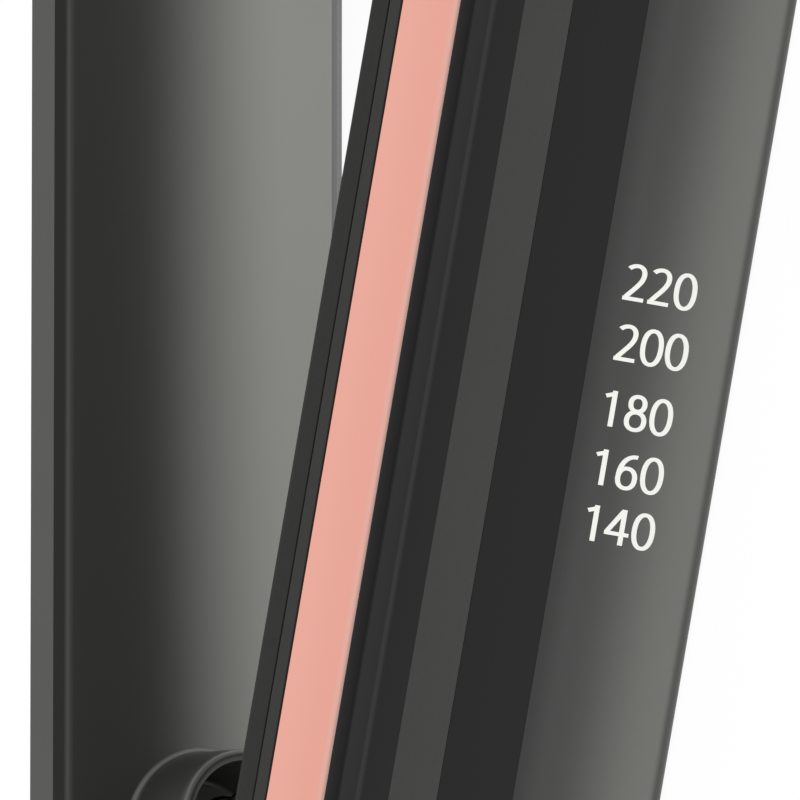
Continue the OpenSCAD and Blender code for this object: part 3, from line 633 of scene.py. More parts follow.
# Glass-filled polyamide of the carriers: dull, with fibres that show faintly
FILLED_POLYAMIDE = Finish("glass_filled_polyamide", ("#3a3937", "#464441"), 0.62, 0.06, drift=2,
    grain=Grain.DRAWN, relief=0.01)
# Ceramic coating on aluminium: warm grey with a fine glitter, drawn coarser than it is so that it shows
PLATE_COATING = Finish("ceramic_coated_aluminium", ("#5b5754", "#615c59"), 0.28, metallic=0.4,
    glitter="#8f8983", relief=0.001)
# Fired alumina: off-white and chalky
ALUMINA = Finish("fired_alumina", ("#dad5c9", "#cfc9bb"), 0.7, drift=3, relief=0.006)
# Glass bead round the sensor: amber and glossy
SENSOR_GLASS = Finish("amber_sensor_glass", ("#c98a4b", "#b8793c"), 0.15, drift=2, relief=0.0, coat=0.6)
# Glass-fibre board under a green solder mask: a soft gloss, slightly uneven
SOLDER_MASK = Finish("green_solder_mask", ("#2c5938", "#33643f"), 0.3, drift=3, grain_size=0.5, relief=0.01)
# Pressed and tinned steel of the switches' covers
TINNED_STEEL = Finish("tinned_steel", ("#c6c7c6", "#b4b6b6"), 0.3, 0.08, grain=Grain.DRAWN, metallic=1.0)
# Clear acrylic that leads the lamps' light to the figures
CLEAR_ACRYLIC = Finish("clear_acrylic", ("#eef3f3", "#e6eeee"), 0.08, 0.02, relief=0.0, clear=0.85)
# Silicone lead covering: soft dark red with a dull sheen
LEAD_SILICONE = Finish("silicone_lead_covering", ("#7c302b", "#6d2823"), 0.5, drift=4)
# Silicone rubber of the springy pads
PAD_SILICONE = Finish("moulded_silicone", ("#b5523c", "#a94833"), 0.6, drift=3, relief=0.006)
# Blackened steel of the screws: nearly black, with an uneven sheen
BLACK_STEEL = Finish("blackened_steel", ("#2a2b2c", "#3a3b3c"), 0.38, 0.1, drift=1, metallic=1.0)
# Ground steel of the pin and the catch, with the wheel's fine marks
GROUND_STEEL = Finish("ground_steel", ("#b9bcbe", "#a9acae"), 0.24, 0.06, grain=Grain.CROSS_DRAWN,
    relief=0.002, metallic=1.0)
# Oil-blackened spring wire: dark steel with a faint greasy sheen
SPRING_WIRE = Finish("oiled_spring_wire", ("#232324", "#1c1c1d"), 0.38, 0.08, drift=1.5, metallic=1.0)
# Sintered bronze of the bushes, porous and dull gold
SINTERED_BRONZE = Finish("sintered_bronze", ("#9a7b45", "#86683a"), 0.45, 0.1, drift=1, grain_size=0.15,
    relief=0.01, metallic=1.0)

# Pieces that keep their construction mesh, with the finish that each gets
PLAIN_DRESS = {
    "control_screws": BLACK_STEEL, "plain_screws": BLACK_STEEL, "control_board": SOLDER_MASK,
    "tact_switches": TINNED_STEEL, "light_guide": CLEAR_ACRYLIC, "supply_leads": LEAD_SILICONE,
    "control_leads": LEAD_SILICONE, "plain_leads": LEAD_SILICONE, "control_heater": ALUMINA,
    "plain_heater": ALUMINA, "thermistor": SENSOR_GLASS, "hinge_bushes": SINTERED_BRONZE,
    "lock_catch": GROUND_STEEL, "hinge_pin": GROUND_STEEL,
}


def settle(piece: bpy.types.Object, body: str, slot: str, finish: Finish, *nodes: str) -> bpy.types.Object:
    """Dresses a new piece, puts it on its body and reports it.

    Args:
        piece: The finished piece.
        body: Body that it moves with.
        slot: Material slot of the record, or an empty string. It is not used.
        finish: Its finish.
        nodes: Nodes of the frame that it stands for.

    Returns:
        The piece.
    """
    finish.dress(piece)
    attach(piece, body)
    if nodes:
        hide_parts(*nodes)
    LOG.info("%s rides on %s", piece.name, body)
    return piece


def skinned(node: str, body: str, slot: str, finish: Finish, edge: Rounding,
        mend: Callable[[bpy.types.Mesh], None] | None = None) -> None:
    """Dresses a softened copy of a node, named for it, and puts it in the node's place.

    Args:
        node: Name of the node.
        body: Body that the copy moves with.
        slot: Material slot of the record.
        finish: Finish of the copy.
        edge: Rounding of its edges.
        mend: Change to make to its mesh first.
    """
    settle(softened(node, node + "_skin", edge, mend), body, slot, finish, node)


@dataclass
class Figures:
    """Temperature figures printed on the control arm, drawn as ribbons of ink by an oval pen.

    The ink starts lift above the face, and each further stroke of a figure lies higher by stack, so
    that no two of them lie in one plane.
    """

    height: float = 3.06
    pen: tuple[float, float] = (0.51, 0.33)
    widen: float = 1.2
    pitch: float = 2.15
    ink: float = 0.03
    lift: float = 0.002
    stack: float = 0.008
    fullness: float = 0.9
    places: tuple[tuple[str, float, float], ...] = (("220", 108.9, 9.62), ("200", 103.76, 9.47),
        ("180", 98.14, 9.72), ("160", 93.14, 9.64), ("140", 88.38, 9.56))

    def loop(self, centre: tuple[float, float], half: tuple[float, float]) -> Array:
        """Closed stroke: an ellipse whose cosine and sine are raised to a power, so its sides are fuller.

        Args:
            centre: Middle of the ellipse.
            half: Its half width and half height.

        Returns:
            The points of the stroke.
        """
        angles = np.linspace(0, 2 * np.pi, 49)
        wave = np.stack([np.cos(angles), np.sin(angles)], axis=1)
        return np.array(centre) + np.array(half) * np.sign(wave) * np.abs(wave) ** self.fullness

    def curve(self, *knots: tuple[float, float]) -> Array:
        """Bezier stroke: the four knots weighted by the cubic Bernstein terms.

        Args:
            knots: The stroke's start, the two that draw it out, and its end.

        Returns:
            The points of the stroke.
        """
        t = np.linspace(0, 1, 25)[:, None]
        a, b, c, d = (np.array(k) for k in knots)
        return (1 - t) ** 3 * a + 3 * t * (1 - t) ** 2 * b + 3 * t**2 * (1 - t) * c + t**3 * d

    def strokes(self, digit: str) -> list[Array]:
        """Middle lines of a digit's strokes, from its baseline up, in a cell one pitch wide.

        Args:
            digit: One of the figures 0, 1, 2, 4, 6 and 8.

        Returns:
            A list of lines, each as points of right and up.
        """
        high, low = self.height, self.pen[1] / 2
        top, middle = high - low, self.pitch / 2
        if digit == "0":
            return [self.loop((middle, high / 2), (0.77, top - high / 2 + 0.06))]
        if digit == "1":
            stem = middle + 0.1
            return [np.array([(stem, 0.07), (stem, high + 0.05)]),
                np.array([(stem + 0.06, top - 0.02), (stem - 0.74, top - 0.3)])]
        if digit == "2":
            bowl = self.curve((0.36, top - 0.2), (0.8, top + 0.26), (1.74, top + 0.24), (1.7, top - 0.62))
            slope = self.curve((1.7, top - 0.62), (1.67, top - 1.25), (1.05, 1.1), (0.4, low + 0.14))
            return [np.concatenate([bowl, slope[1:]]), np.array([(0.12, low + 0.02), (1.92, low + 0.02)])]
        if digit == "4":
            stem = middle + 0.32
            return [np.array([(stem - 0.06, high - 0.08), (0.12, 1.08)]),
                np.array([(-0.08, 1.0), (2.02, 1.0)]),
                np.array([(stem, high + 0.05), (stem, 0.07)])]
        if digit == "6":
            tail = self.curve((0.36, 0.95), (0.32, 2.2), (0.95, top + 0.06), (1.8, top - 0.04))
            return [self.loop((middle, 0.98), (0.72, 0.84)), tail]
        return [self.loop((middle, 0.86), (0.74, 0.74)), self.loop((middle, top - 0.58), (0.6, 0.62))]

    def ribbon(self, line: Array, lift: float) -> Array:
        """Rings of a stroke: the oval pen's reach to both sides of its line, and its ink's thickness.

        The reach along the line's normal n is the pen's half sizes squared times n, over the length
        of the half sizes times n.

        Args:
            line: Points of the middle line.
            lift: How high the ink starts above the surface.

        Returns:
            Rings of four corners, each of right, up and out.
        """
        step = unit(np.diff(line, axis=0))
        back = np.concatenate([step[:1], step])
        ahead = np.concatenate([step, step[-1:]])
        if np.allclose(line[0], line[-1]):
            back[0], ahead[-1] = step[-1], step[0]
        normal = unit(back + ahead) @ np.array([[0.0, 1.0], [-1.0, 0.0]])
        half = np.array(self.pen) / 2
        reach = half**2 * normal / np.linalg.norm(half * normal, axis=1, keepdims=True)
        left, right = line + reach, line - reach
        heights = (lift, lift + self.ink, lift + self.ink, lift)
        sides = (left, left, right, right)
        return np.stack([np.column_stack([s, np.full(len(s), h)]) for s, h in zip(sides, heights)], axis=1)

    def build(self, face: float) -> bpy.types.Object:
        """Draws all the figures on the face at that x, upright along the arm.

        Args:
            face: Height of the face that carries the ink.

        Returns:
            The piece.
        """
        shape = Shape()
        for text, along, across in self.places:
            lines = [(line * (self.widen, 1.0) + (i * self.pitch * self.widen, 0.0), j)
                for i, digit in enumerate(text) for j, line in enumerate(self.strokes(digit))]
            ink = np.concatenate([line for line, _ in lines])
            middle = (ink.min(0) + ink.max(0)) / 2
            for line, j in lines:
                rings = self.ribbon(line - middle, self.lift + self.stack * j)
                shape.drawn(np.stack([face + rings[..., 2], along + rings[..., 1],
                    across - rings[..., 0]], axis=-1))
        return shape.piece("temperature_figures")


@dataclass
class ControlArm:
    """Moulded control arm with its gloss panel, stripe, trim and figures.

    The seams that the solids leave are narrowed to line. A corner that shows is rounded by corner
    and a hidden one by inner, and the bars' and the panel's ends by their own radii.
    """

    panel_t: float = 1.0
    edge_r: float = 1.5
    seam: float = 0.1
    line: float = 0.02
    stripe_t: float = 0.5
    corner: float = 0.03
    inner: float = 0.02
    panel_end: float = 0.05
    bar_end: float = 0.08
    bevel: float = 0.3
    bevel_side: float = 0.05
    bevel_top: float = 0.12
    body: str = "control_arm"

    def gloss_panel(self) -> None:
        """Gloss panel: over the top, round the long edge and down the side, with the stripe's recess."""
        low, high = low_high("gloss_panel")
        stripe_low, stripe_high = low_high("panel_stripe")
        top, side = high[0], high[2]
        under, floor = top - self.panel_t, top - self.stripe_t
        start = low[2] - self.seam + self.line
        near, far = stripe_low[2] - self.line, stripe_high[2] + self.line
        outline = rounded([
            (top, start, self.corner), (top, near, self.corner), (floor, near, self.inner),
            (floor, far, self.inner), (top, far, self.corner),
            (top, side, self.edge_r), (low[0], side, self.corner), (low[0], side - self.panel_t, self.corner),
            (under, side - self.panel_t, self.edge_r - self.panel_t), (under, start, self.corner)])
        shape = Shape().solid(along_arm(outline, low[1], high[1], self.panel_end))
        settle(shape.piece("gloss_panel_skin"), self.body, "gloss_black", PIANO_BLACK, "gloss_panel")

    def bar(self, node: str, corners: list[tuple[float, float, float]], slot: str, finish: Finish) -> None:
        """Bar with a rounded section that stands for a node, from the node's start to its end.

        Args:
            node: Name of the node.
            corners: Corners of the section, each with its radius.
            slot: Material slot of the record.
            finish: Finish of the bar.
        """
        low, high = low_high(node)
        shape = Shape().solid(along_arm(rounded(corners), low[1], high[1], self.bar_end))
        settle(shape.piece(node + "_skin"), self.body, slot, finish, node)

    def stripe_and_trim(self) -> None:
        """Satin stripe flush with the panel, and the rose trim with its bevelled long edges."""
        low, high = low_high("panel_stripe")
        self.bar("panel_stripe", [(low[0], low[2], self.inner), (high[0], low[2], self.corner),
            (high[0], high[2], self.corner), (low[0], high[2], self.inner)], "satin_stripe", SATIN_INK)
        low, high = low_high("side_trim")
        low[0] -= self.seam - self.line
        slope = high[2] - self.bevel
        self.bar("side_trim", [(low[0], low[2], self.inner), (low[0], slope, self.bevel_side),
            (low[0] + self.bevel, high[2], self.bevel_top), (high[0] - self.bevel, high[2], self.bevel_top),
            (high[0], slope, self.bevel_side), (high[0], low[2], self.inner)], "rose_trim", ROSE_LACQUER)

    def build(self) -> None:
        """Makes and dresses the whole arm."""
        skinned("control_shell", self.body, "graphite_shell", TOP_PAINT, SHELL_EDGE)
        skinned("control_inner_cover", self.body, "dark_cover", CHARCOAL_ABS, COVER_EDGE)
        skinned("control_tip", self.body, "tip_plastic", TIP_POLYAMIDE, TIP_EDGE)
        skinned("control_carrier", self.body, "heat_plastic", FILLED_POLYAMIDE, CARRIER_EDGE)
        self.gloss_panel()
        self.stripe_and_trim()
        figures = Figures().build(low_high("gloss_panel")[1][0])
        settle(figures, self.body, "", PRINT_WHITE)


@dataclass
class Controls:
    """Buttons, lock slider and cord swivel of the control arm.

    The dish, cap, stem, flange and mark are a button's, and the bore, sleeve, shoulder and groove the
    swivel's. The flange's top is counted from the button's inner end, and the groove's places from
    the swivel's mouth.
    """

    dish: float = 0.18
    dish_r: float = 3.7
    cap_edge: float = 0.5
    stem_r: float = 1.2
    flange_w: float = 0.9
    flange_t: float = 0.9
    flange_top: float = 1.2
    mark_stroke: float = 0.36
    mark_r: float = 1.15
    mark_lift: float = -0.001
    mark_stack: float = 0.012
    bore_r: float = 3.4
    bore_edge: float = 0.5
    sleeve_edge: float = 0.7
    shoulder_w: float = 1.5
    shoulder_l: float = 2.4
    groove_y: tuple[float, ...] = (2.2, 2.5, 3.0, 3.3)
    groove_d: float = 0.35

    def button(self, name: str) -> None:
        """Button turned about its own axis: a dished cap with a round edge, its flange and its stem.

        Args:
            name: Name of the button's node and body.
        """
        low, high = low_high(name)
        flange_r = (high[1] - low[1]) / 2
        centre = (0.0, (low[1] + high[1]) / 2, (low[2] + high[2]) / 2)
        radius, edge, stem = flange_r - self.flange_w, self.cap_edge, self.stem_r
        top = low[0] + self.flange_top
        under = top - self.flange_t
        dish = np.linspace(0, 1, 9)
        cap = np.column_stack([(radius - edge) * dish, high[0] - self.dish * (1 - dish**2)])
        profile = np.concatenate([cap, bow((radius - edge, high[0] - edge), edge, 90, 0)[1:],
            [(radius, top), (flange_r, top), (flange_r, under), (stem, under), (stem, low[0]),
                (0.0, low[0])]])
        shape = Shape().grid(turned(profile, centre, Axis.ACROSS))
        settle(shape.piece(name + "_cap", sharp=40), name, "button_plastic", BUTTON_ABS, name)
        self.mark(name, high[0] - self.dish, centre[1], centre[2])

    def mark(self, name: str, face: float, y: float, z: float) -> None:
        """Printed mark in the button's dish: a broken ring with a bar, a minus or a plus.

        Args:
            name: Name of the button's body.
            face: Height of the dish at its middle.
            y: Middle of the button along the arm.
            z: Middle of the button across the arm.
        """
        reach = self.mark_r
        marks = {
            "power_button": [bow((0, -0.1), reach, 130, 410, 32), np.array([(0, 0.1), (0, reach + 0.35)])],
            "minus_button": [np.array([(-reach, 0.0), (reach, 0.0)])],
            "plus_button": [np.array([(-reach, 0.0), (reach, 0.0)]), np.array([(0.0, -reach), (0.0, reach)])],
        }
        shape = Shape()
        for j, line in enumerate(marks[name]):
            lift = self.mark_lift + self.mark_stack * j
            rings = Figures(pen=(self.mark_stroke, self.mark_stroke)).ribbon(line, lift)
            out = self.dish * (rings[..., 0] ** 2 + rings[..., 1] ** 2) / self.dish_r**2
            shape.drawn(np.stack([face + out + rings[..., 2], y + rings[..., 1], z - rings[..., 0]], axis=-1))
        settle(shape.piece(name + "_mark"), name, "", PRINT_WHITE)

    def swivel(self) -> None:
        """Cord swivel: a turned sleeve with a groove, a round mouth, a shoulder and the cord's bore."""
        low, high = low_high("cord_swivel")
        flange_r = (high[0] - low[0]) / 2
        centre = ((low[0] + high[0]) / 2, 0.0, (low[2] + high[2]) / 2)
        sleeve, bore, mouth, edge = flange_r - self.shoulder_w, self.bore_r, self.bore_edge, self.sleeve_edge
        sunk = sleeve - self.groove_d
        groove = np.column_stack([(sleeve, sunk, sunk, sleeve), low[1] + np.array(self.groove_y)])
        shoulder = high[1] - self.shoulder_l
        profile = np.concatenate([
            [(bore, high[1])], bow((bore + mouth, low[1] + mouth), mouth, 180, 270),
            bow((sleeve - edge, low[1] + edge), edge, 270, 360), groove,
            [(sleeve, shoulder), (flange_r, shoulder), (flange_r, high[1]), (bore, high[1])]])
        shape = Shape().grid(turned(profile, centre, Axis.ALONG))
        settle(shape.piece("cord_swivel_sleeve"), "cord_swivel", "dark_cover", CHARCOAL_ABS, "cord_swivel")

    def build(self) -> None:
        """Makes and dresses the controls."""
        for name in ("power_button", "minus_button", "plus_button"):
            self.button(name)
        slider = softened("lock_slider", "lock_slider_pad", SHELL_EDGE)
        settle(slider, "lock_slider", "button_plastic", BUTTON_ABS, "lock_slider")
        self.swivel()


@dataclass
class InnerPanel:
    """Crowned inner panel of the plain arm with its spring cup and its screw seats.

    The cup and each seat are drawn in a rectangular patch of the face, which goes along the arm by its
    reach to both sides of its middle. The cup's foot follows the crown up to the height of blend.
    Beyond flat_half from its middle line the face is drawn in strips, whose edges lie at the steps.
    """

    half_face: float = 13.56
    crown: float = 1.55
    rise: float = 0.96
    round_over: float = 0.1
    cup_y: float = 59.2
    foot_r: float = 8.1
    rim_r: float = 7.35
    pocket_r: float = 6.3
    cup_h: float = 6.25
    cup_depth: float = 8.0
    cup_reach: float = 11.5
    fillet: float = 0.6
    blend: float = 1.2
    screw_y: float = 22.0
    screw_dz: float = 8.0
    screw_r: float = 2.45
    screw_floor: float = 2.55
    screw_edge: float = 0.15
    screw_reach: float = 6.0
    tongue: float = 1.2
    shelf: float = 0.9
    margin: float = 0.02
    flat_half: float = 13.0
    steps: tuple[float, ...] = (0.0, 0.2, 0.36, 0.46, 0.56, 0.66, 0.78, 1.0, 1.3)
    columns: int = 32
    rings: int = 9
    crowding: float = 0.8

    def __post_init__(self) -> None:
        """Reads the panel's own limits from the closed frame."""
        self.low, self.high = low_high("plain_inner_cover", -OPEN)
        self.mid = (self.low[2] + self.high[2]) / 2
        self.face = self.high[0] - self.cup_h - self.crown
        self.half = (self.high[2] - self.low[2]) / 2
        self.rim = self.face - self.rise

    def surface(self, z: Array) -> Array:
        """Height of the panel over a place across it.

        Inside the face it is a circle's arc through the crown. Beyond the face a straight slope falls
        to the rim, and a soft maximum of the slope and zero rounds the edge between them.

        Args:
            z: Places across the panel.

        Returns:
            The height x of each.
        """
        d = np.abs(z - self.mid)
        chord = (self.half_face**2 + self.crown**2) / (2 * self.crown)
        sag = chord - np.sqrt(chord**2 - np.minimum(d, self.half_face) ** 2)
        past = (d - self.half_face) * self.rise / (self.half - self.half_face)
        return self.face + self.crown - sag - (past + np.sqrt(past**2 + self.round_over**2)) / 2

    def sheet(self, y: Array, z: Array) -> Array:
        """Grid of the panel's face over places along and across it."""
        along, across = np.meshgrid(y, z, indexing="ij")
        return np.stack([self.surface(across), along, across], axis=-1)

    def border(self, low: tuple[float, float], high: tuple[float, float], count: int) -> Array:
        """Points round a rectangle of y and z, from its lowest corner.

        Args:
            low: Its lowest corner.
            high: Its highest corner.
            count: Number of points to a side.

        Returns:
            The points.
        """
        share = np.arange(count)[:, None] / count
        corners = np.array([low, (high[0], low[1]), high, (low[0], high[1]), low])
        return np.concatenate([a + (b - a) * share for a, b in zip(corners[:-1], corners[1:])])

    def ring_patch(self, middle: tuple[float, float], radius: float, border: Array) -> Array:
        """Rings from a rectangle in to a circle: straight lines along each direction, on the face.

        A ring's share of the way in is its own share of the rings to the power of the crowding.

        Args:
            middle: Middle of the circle, y and z.
            radius: Its radius.
            border: Points round the rectangle.

        Returns:
            Rings from the rectangle to the circle.
        """
        circle = np.array(middle) + radius * unit(border - np.array(middle))
        share = (np.linspace(0, 1, self.rings) ** self.crowding)[:, None, None]
        flat = border + (circle - border) * share
        return np.stack([self.surface(flat[..., 1]), flat[..., 0], flat[..., 1]], axis=-1)

    def sunk(self, middle: tuple[float, float], border: Array, profile: Array) -> Array:
        """Rings of a turned form that starts on the face: radius, height and how far it follows the face.

        A ring's height is the crown's top plus its own height, less the face's fall there times its
        third value, so the first rings lie on the crowned face and the last ones are level.

        Args:
            middle: Middle of the form, y and z.
            border: Points that give the rings' directions.
            profile: The form's profile.

        Returns:
            The rings, from the face in.
        """
        directions = unit(border - np.array(middle))
        flat = np.array(middle) + profile[:, :1, None] * directions
        top = self.face + self.crown
        fall = (top - self.surface(flat[..., 1])) * profile[:, 2:3]
        return np.stack([top + profile[:, 1:2] - fall, flat[..., 0], flat[..., 1]], axis=-1)

    def cup_profile(self) -> Array:
        """Spring cup: a filleted foot, a leaning wall, a round rim, and the pocket down to its floor.

        Returns:
            Points of radius, height and how far they follow the face: the foot less as it rises.
        """
        rim, lip, floor = 0.35, 0.2, 0.5
        wall = np.concatenate([
            bow((self.foot_r + self.fillet, self.fillet), self.fillet, 270, 180),
            bow((self.rim_r - rim, self.cup_h - rim), rim, 8, 90),
            bow((self.pocket_r + lip, self.cup_h - lip), lip, 90, 180),
            bow((self.pocket_r - floor, self.cup_h - self.cup_depth + floor), floor, 0, -90),
            [(0.0, self.cup_h - self.cup_depth)]])
        foot = wall[:, 0] > self.rim_r
        follow = np.where(foot, np.clip(1 - wall[:, 1] / self.blend, 0, 1), 0.0)
        return np.column_stack([wall, follow])

    def screw_profile(self) -> Array:
        """Screw seat: a round edge, the wall and the floor under the screw's head.

        Returns:
            Points of radius, height and how far they follow the face: the edge does, the floor doesn't.
        """
        edge, floor = self.screw_edge, -self.screw_floor
        wall = np.concatenate([bow((self.screw_r + edge, -edge), edge, 90, 180),
            [(self.screw_r, floor), (0.0, floor)]])
        follow = np.where(wall[:, 1] > floor, 1.0, 0.0)
        return np.column_stack([wall, follow])

    def build(self) -> None:
        """Makes the panel in one closed surface and dresses it."""
        shape = Shape()
        z_low, z_high = self.mid - self.flat_half, self.mid + self.flat_half
        cup = (self.cup_y - self.cup_reach, self.cup_y + self.cup_reach)
        seat = (self.screw_y - self.screw_reach, self.screw_y + self.screw_reach)
        across = np.linspace(z_low, z_high, self.columns + 1)
        starts = [self.low[1], seat[0], seat[1], cup[0], cup[1], self.high[1]]
        counts = [2, self.columns // 2, 8, self.columns, 24]
        along = [np.linspace(a, b, n + 1) for a, b, n in zip(starts[:-1], starts[1:], counts)]
        for k in (0, 2, 4):
            shape.grid(self.sheet(along[k], across), around=False)
        border = self.border((cup[0], z_low), (cup[1], z_high), self.columns)
        shape.grid(self.ring_patch((self.cup_y, self.mid), self.foot_r + self.fillet, border))
        shape.grid(self.sunk((self.cup_y, self.mid), border, self.cup_profile()))
        for side in (-1, 1):
            z = sorted((self.mid, self.mid + side * self.flat_half))
            border = self.border((seat[0], z[0]), (seat[1], z[1]), self.columns // 2)
            middle = (self.screw_y, self.mid + side * self.screw_dz)
            shape.grid(self.ring_patch(middle, self.screw_r + self.screw_edge, border))
            shape.grid(self.sunk(middle, border, self.screw_profile()))
        stations = np.concatenate([along[0]] + [a[1:] for a in along[1:]])
        edge = np.append(np.array(self.steps) + self.flat_half, self.half)
        for side in (-1, 1):
            shape.grid(self.sheet(stations, self.mid + side * edge), around=False)
        full = np.unique(np.round(np.concatenate([self.mid - edge, across, self.mid + edge]), 6))
        loop = np.concatenate([
            np.column_stack([np.full(len(full), stations[0]), full]),
            np.column_stack([stations[1:], np.full(len(stations) - 1, full[-1])]),
            np.column_stack([np.full(len(full) - 1, stations[-1]), full[-2::-1]]),
            np.column_stack([stations[-2:0:-1], np.full(len(stations) - 2, full[0])])])
        wide = self.half - self.shelf
        inner = np.clip(loop, [stations[0], self.mid - wide], [stations[-1], self.mid + wide])
        top = np.column_stack([self.surface(loop[:, 1]), loop])
        rim = np.column_stack([np.full(len(loop), self.rim - self.margin), loop])
        shelf = np.column_stack([np.full(len(loop), self.rim - self.margin), inner])
        foot = np.column_stack([np.full(len(loop), self.rim - self.tongue), inner])
        shape.grid(np.stack([top, rim, shelf, foot])).cap(foot)
        piece = shape.piece("plain_inner_panel", OPEN, sharp=40)
        settle(piece, "plain_arm", "graphite_panel", PANEL_LACQUER, "plain_inner_cover")


@dataclass
class PlainArm:
    """Plain arm: its moulded shell, tip and plate carrier, and its inner panel.

    The sizes are those of the shell's back and of its two screw posts. A vertex belongs to a bore or
    a post's foot within slack of its radius, to a foot no deeper than skin_t under the back, and to a
    flat within level of it.
    """

    body: str = "plain_arm"
    back_r: float = 9.0
    lean: float = 38.0
    waist: float = 10.73
    post_y: float = InnerPanel.screw_y
    post_dz: float = InnerPanel.screw_dz
    post_r: float = 3.0
    bore_r: float = 1.35
    slack: float = 0.02
    skin_t: float = 0.4
    level: float = 0.01

    def __post_init__(self) -> None:
        """Works out the outline of the back: heights x at distances from the arm's middle plane.

        It is a round from the back's own direction to the side's, and then the straight leaning side.
        """
        low, high = low_high("plain_shell", -OPEN)
        self.middle = (low[2] + high[2]) / 2
        slope, half = math.tan(math.radians(self.lean)), math.radians(90 - self.lean) / 2
        start = self.middle - self.waist * slope - self.back_r * math.tan(half)
        outline = bow((low[0] + self.back_r, start), self.back_r, 180, 90 + self.lean)
        self.outline = np.append(outline, [(low[0] + self.waist, self.middle)], axis=0)

    def feet(self, work: bmesh.types.BMesh) -> tuple[Array, Array, Array]:
        """Where the shell's vertices lie about the feet of its screw posts.

        Args:
            work: The shell.

        Returns:
            The vertices with the arm swung shut, how far each lies from the line of its post, and how
            far under the back's outline.
        """
        points = swung(np.array([v.co for v in work.verts]) / MM, -OPEN)
        across = np.abs(points[:, 2] - self.middle)
        radius = np.hypot(points[:, 1] - self.post_y, across - self.post_dz)
        return points, radius, points[:, 0] - np.interp(across, self.outline[:, 1], self.outline[:, 0])

    def between(self, work: bmesh.types.BMesh, chosen: Array) -> list[bmesh.types.BMFace]:
        """Faces whose corners are all among some vertices.

        Args:
            work: The shell.
            chosen: Whether each vertex is one of them.

        Returns:
            The faces, in the shell's own order.
        """
        corners = {v for v, taken in zip(work.verts, chosen) if taken}
        return [f for f in work.faces if corners.issuperset(f.verts)]

    def cut(self, work: bmesh.types.BMesh) -> None:
        """Closes the bores and cuts the posts' feet along each corner of the back's outline.

        Args:
            work: The shell.
        """
        radius = self.feet(work)[1]
        walls = self.between(work, np.abs(radius - self.bore_r) < self.slack)
        bmesh.ops.delete(work, geom=walls, context="FACES")
        bmesh.ops.holes_fill(work, edges=[e for e in work.edges if e.is_boundary], sides=0)
        corners = self.outline[:-1, 1]
        for z in np.concatenate([self.middle + corners, self.middle - corners]):
            _, radius, under = self.feet(work)
            faces = self.between(work, (radius < self.post_r + self.slack) & (under < self.skin_t))
            rest = dict.fromkeys(part for f in faces for part in (*f.edges, *f.verts))
            bmesh.ops.bisect_plane(work, geom=[*faces, *rest], dist=1e-7,
                plane_co=(0.0, 0.0, z * MM), plane_no=(0.0, 0.0, 1.0))

    def join(self, work: bmesh.types.BMesh) -> None:
        """Makes one face of all that lies on each flat of the back's outline.

        Args:
            work: The shell.
        """
        for side in (-1.0, 1.0):
            for near, far in zip(self.outline[:-1, 1], self.outline[1:, 1]):
                points, _, under = self.feet(work)
                across = side * (points[:, 2] - self.middle)
                inside = (across > near - self.level) & (across < far + self.level)
                flat = self.between(work, inside & (np.abs(under) < self.level))
                bmesh.ops.dissolve_faces(work, faces=flat)

    def flush(self, mesh: bpy.types.Mesh) -> None:
        """Closes the screw holes at the back of the shell and takes the posts' feet flush with it.

        Each foot is cut along the outline's corners, so that each part of it lies on one flat, takes
        the outline's height there and is joined with the rest of that flat.

        Args:
            mesh: The shell's mesh.
        """
        work = bmesh.new()
        work.from_mesh(mesh)
        self.cut(work)
        points, radius, under = self.feet(work)
        foot = (radius < self.post_r + self.slack) & (under < self.skin_t)
        points[:, 0] -= np.where(foot, under, 0.0)
        work.to_mesh(mesh)
        mesh.vertices.foreach_set("co", (swung(points, OPEN) * MM).ravel())
        work.clear()
        work.from_mesh(mesh)
        self.join(work)
        work.to_mesh(mesh)
        work.free()

    def build(self) -> None:
        """Makes and dresses the whole arm."""
        skinned("plain_shell", self.body, "graphite_shell", GRAPHITE_PAINT, SHELL_EDGE, self.flush)
        skinned("plain_tip", self.body, "tip_plastic", TIP_POLYAMIDE, TIP_EDGE)
        skinned("plain_carrier", self.body, "heat_plastic", FILLED_POLYAMIDE, CARRIER_EDGE)
        InnerPanel().build()


class Side(Enum):
    """Which arm a hot-end piece belongs to: its body's prefix, its mirroring and its swing."""

    CONTROL = ("control", 1.0, 0.0)
    PLAIN = ("plain", -1.0, OPEN)


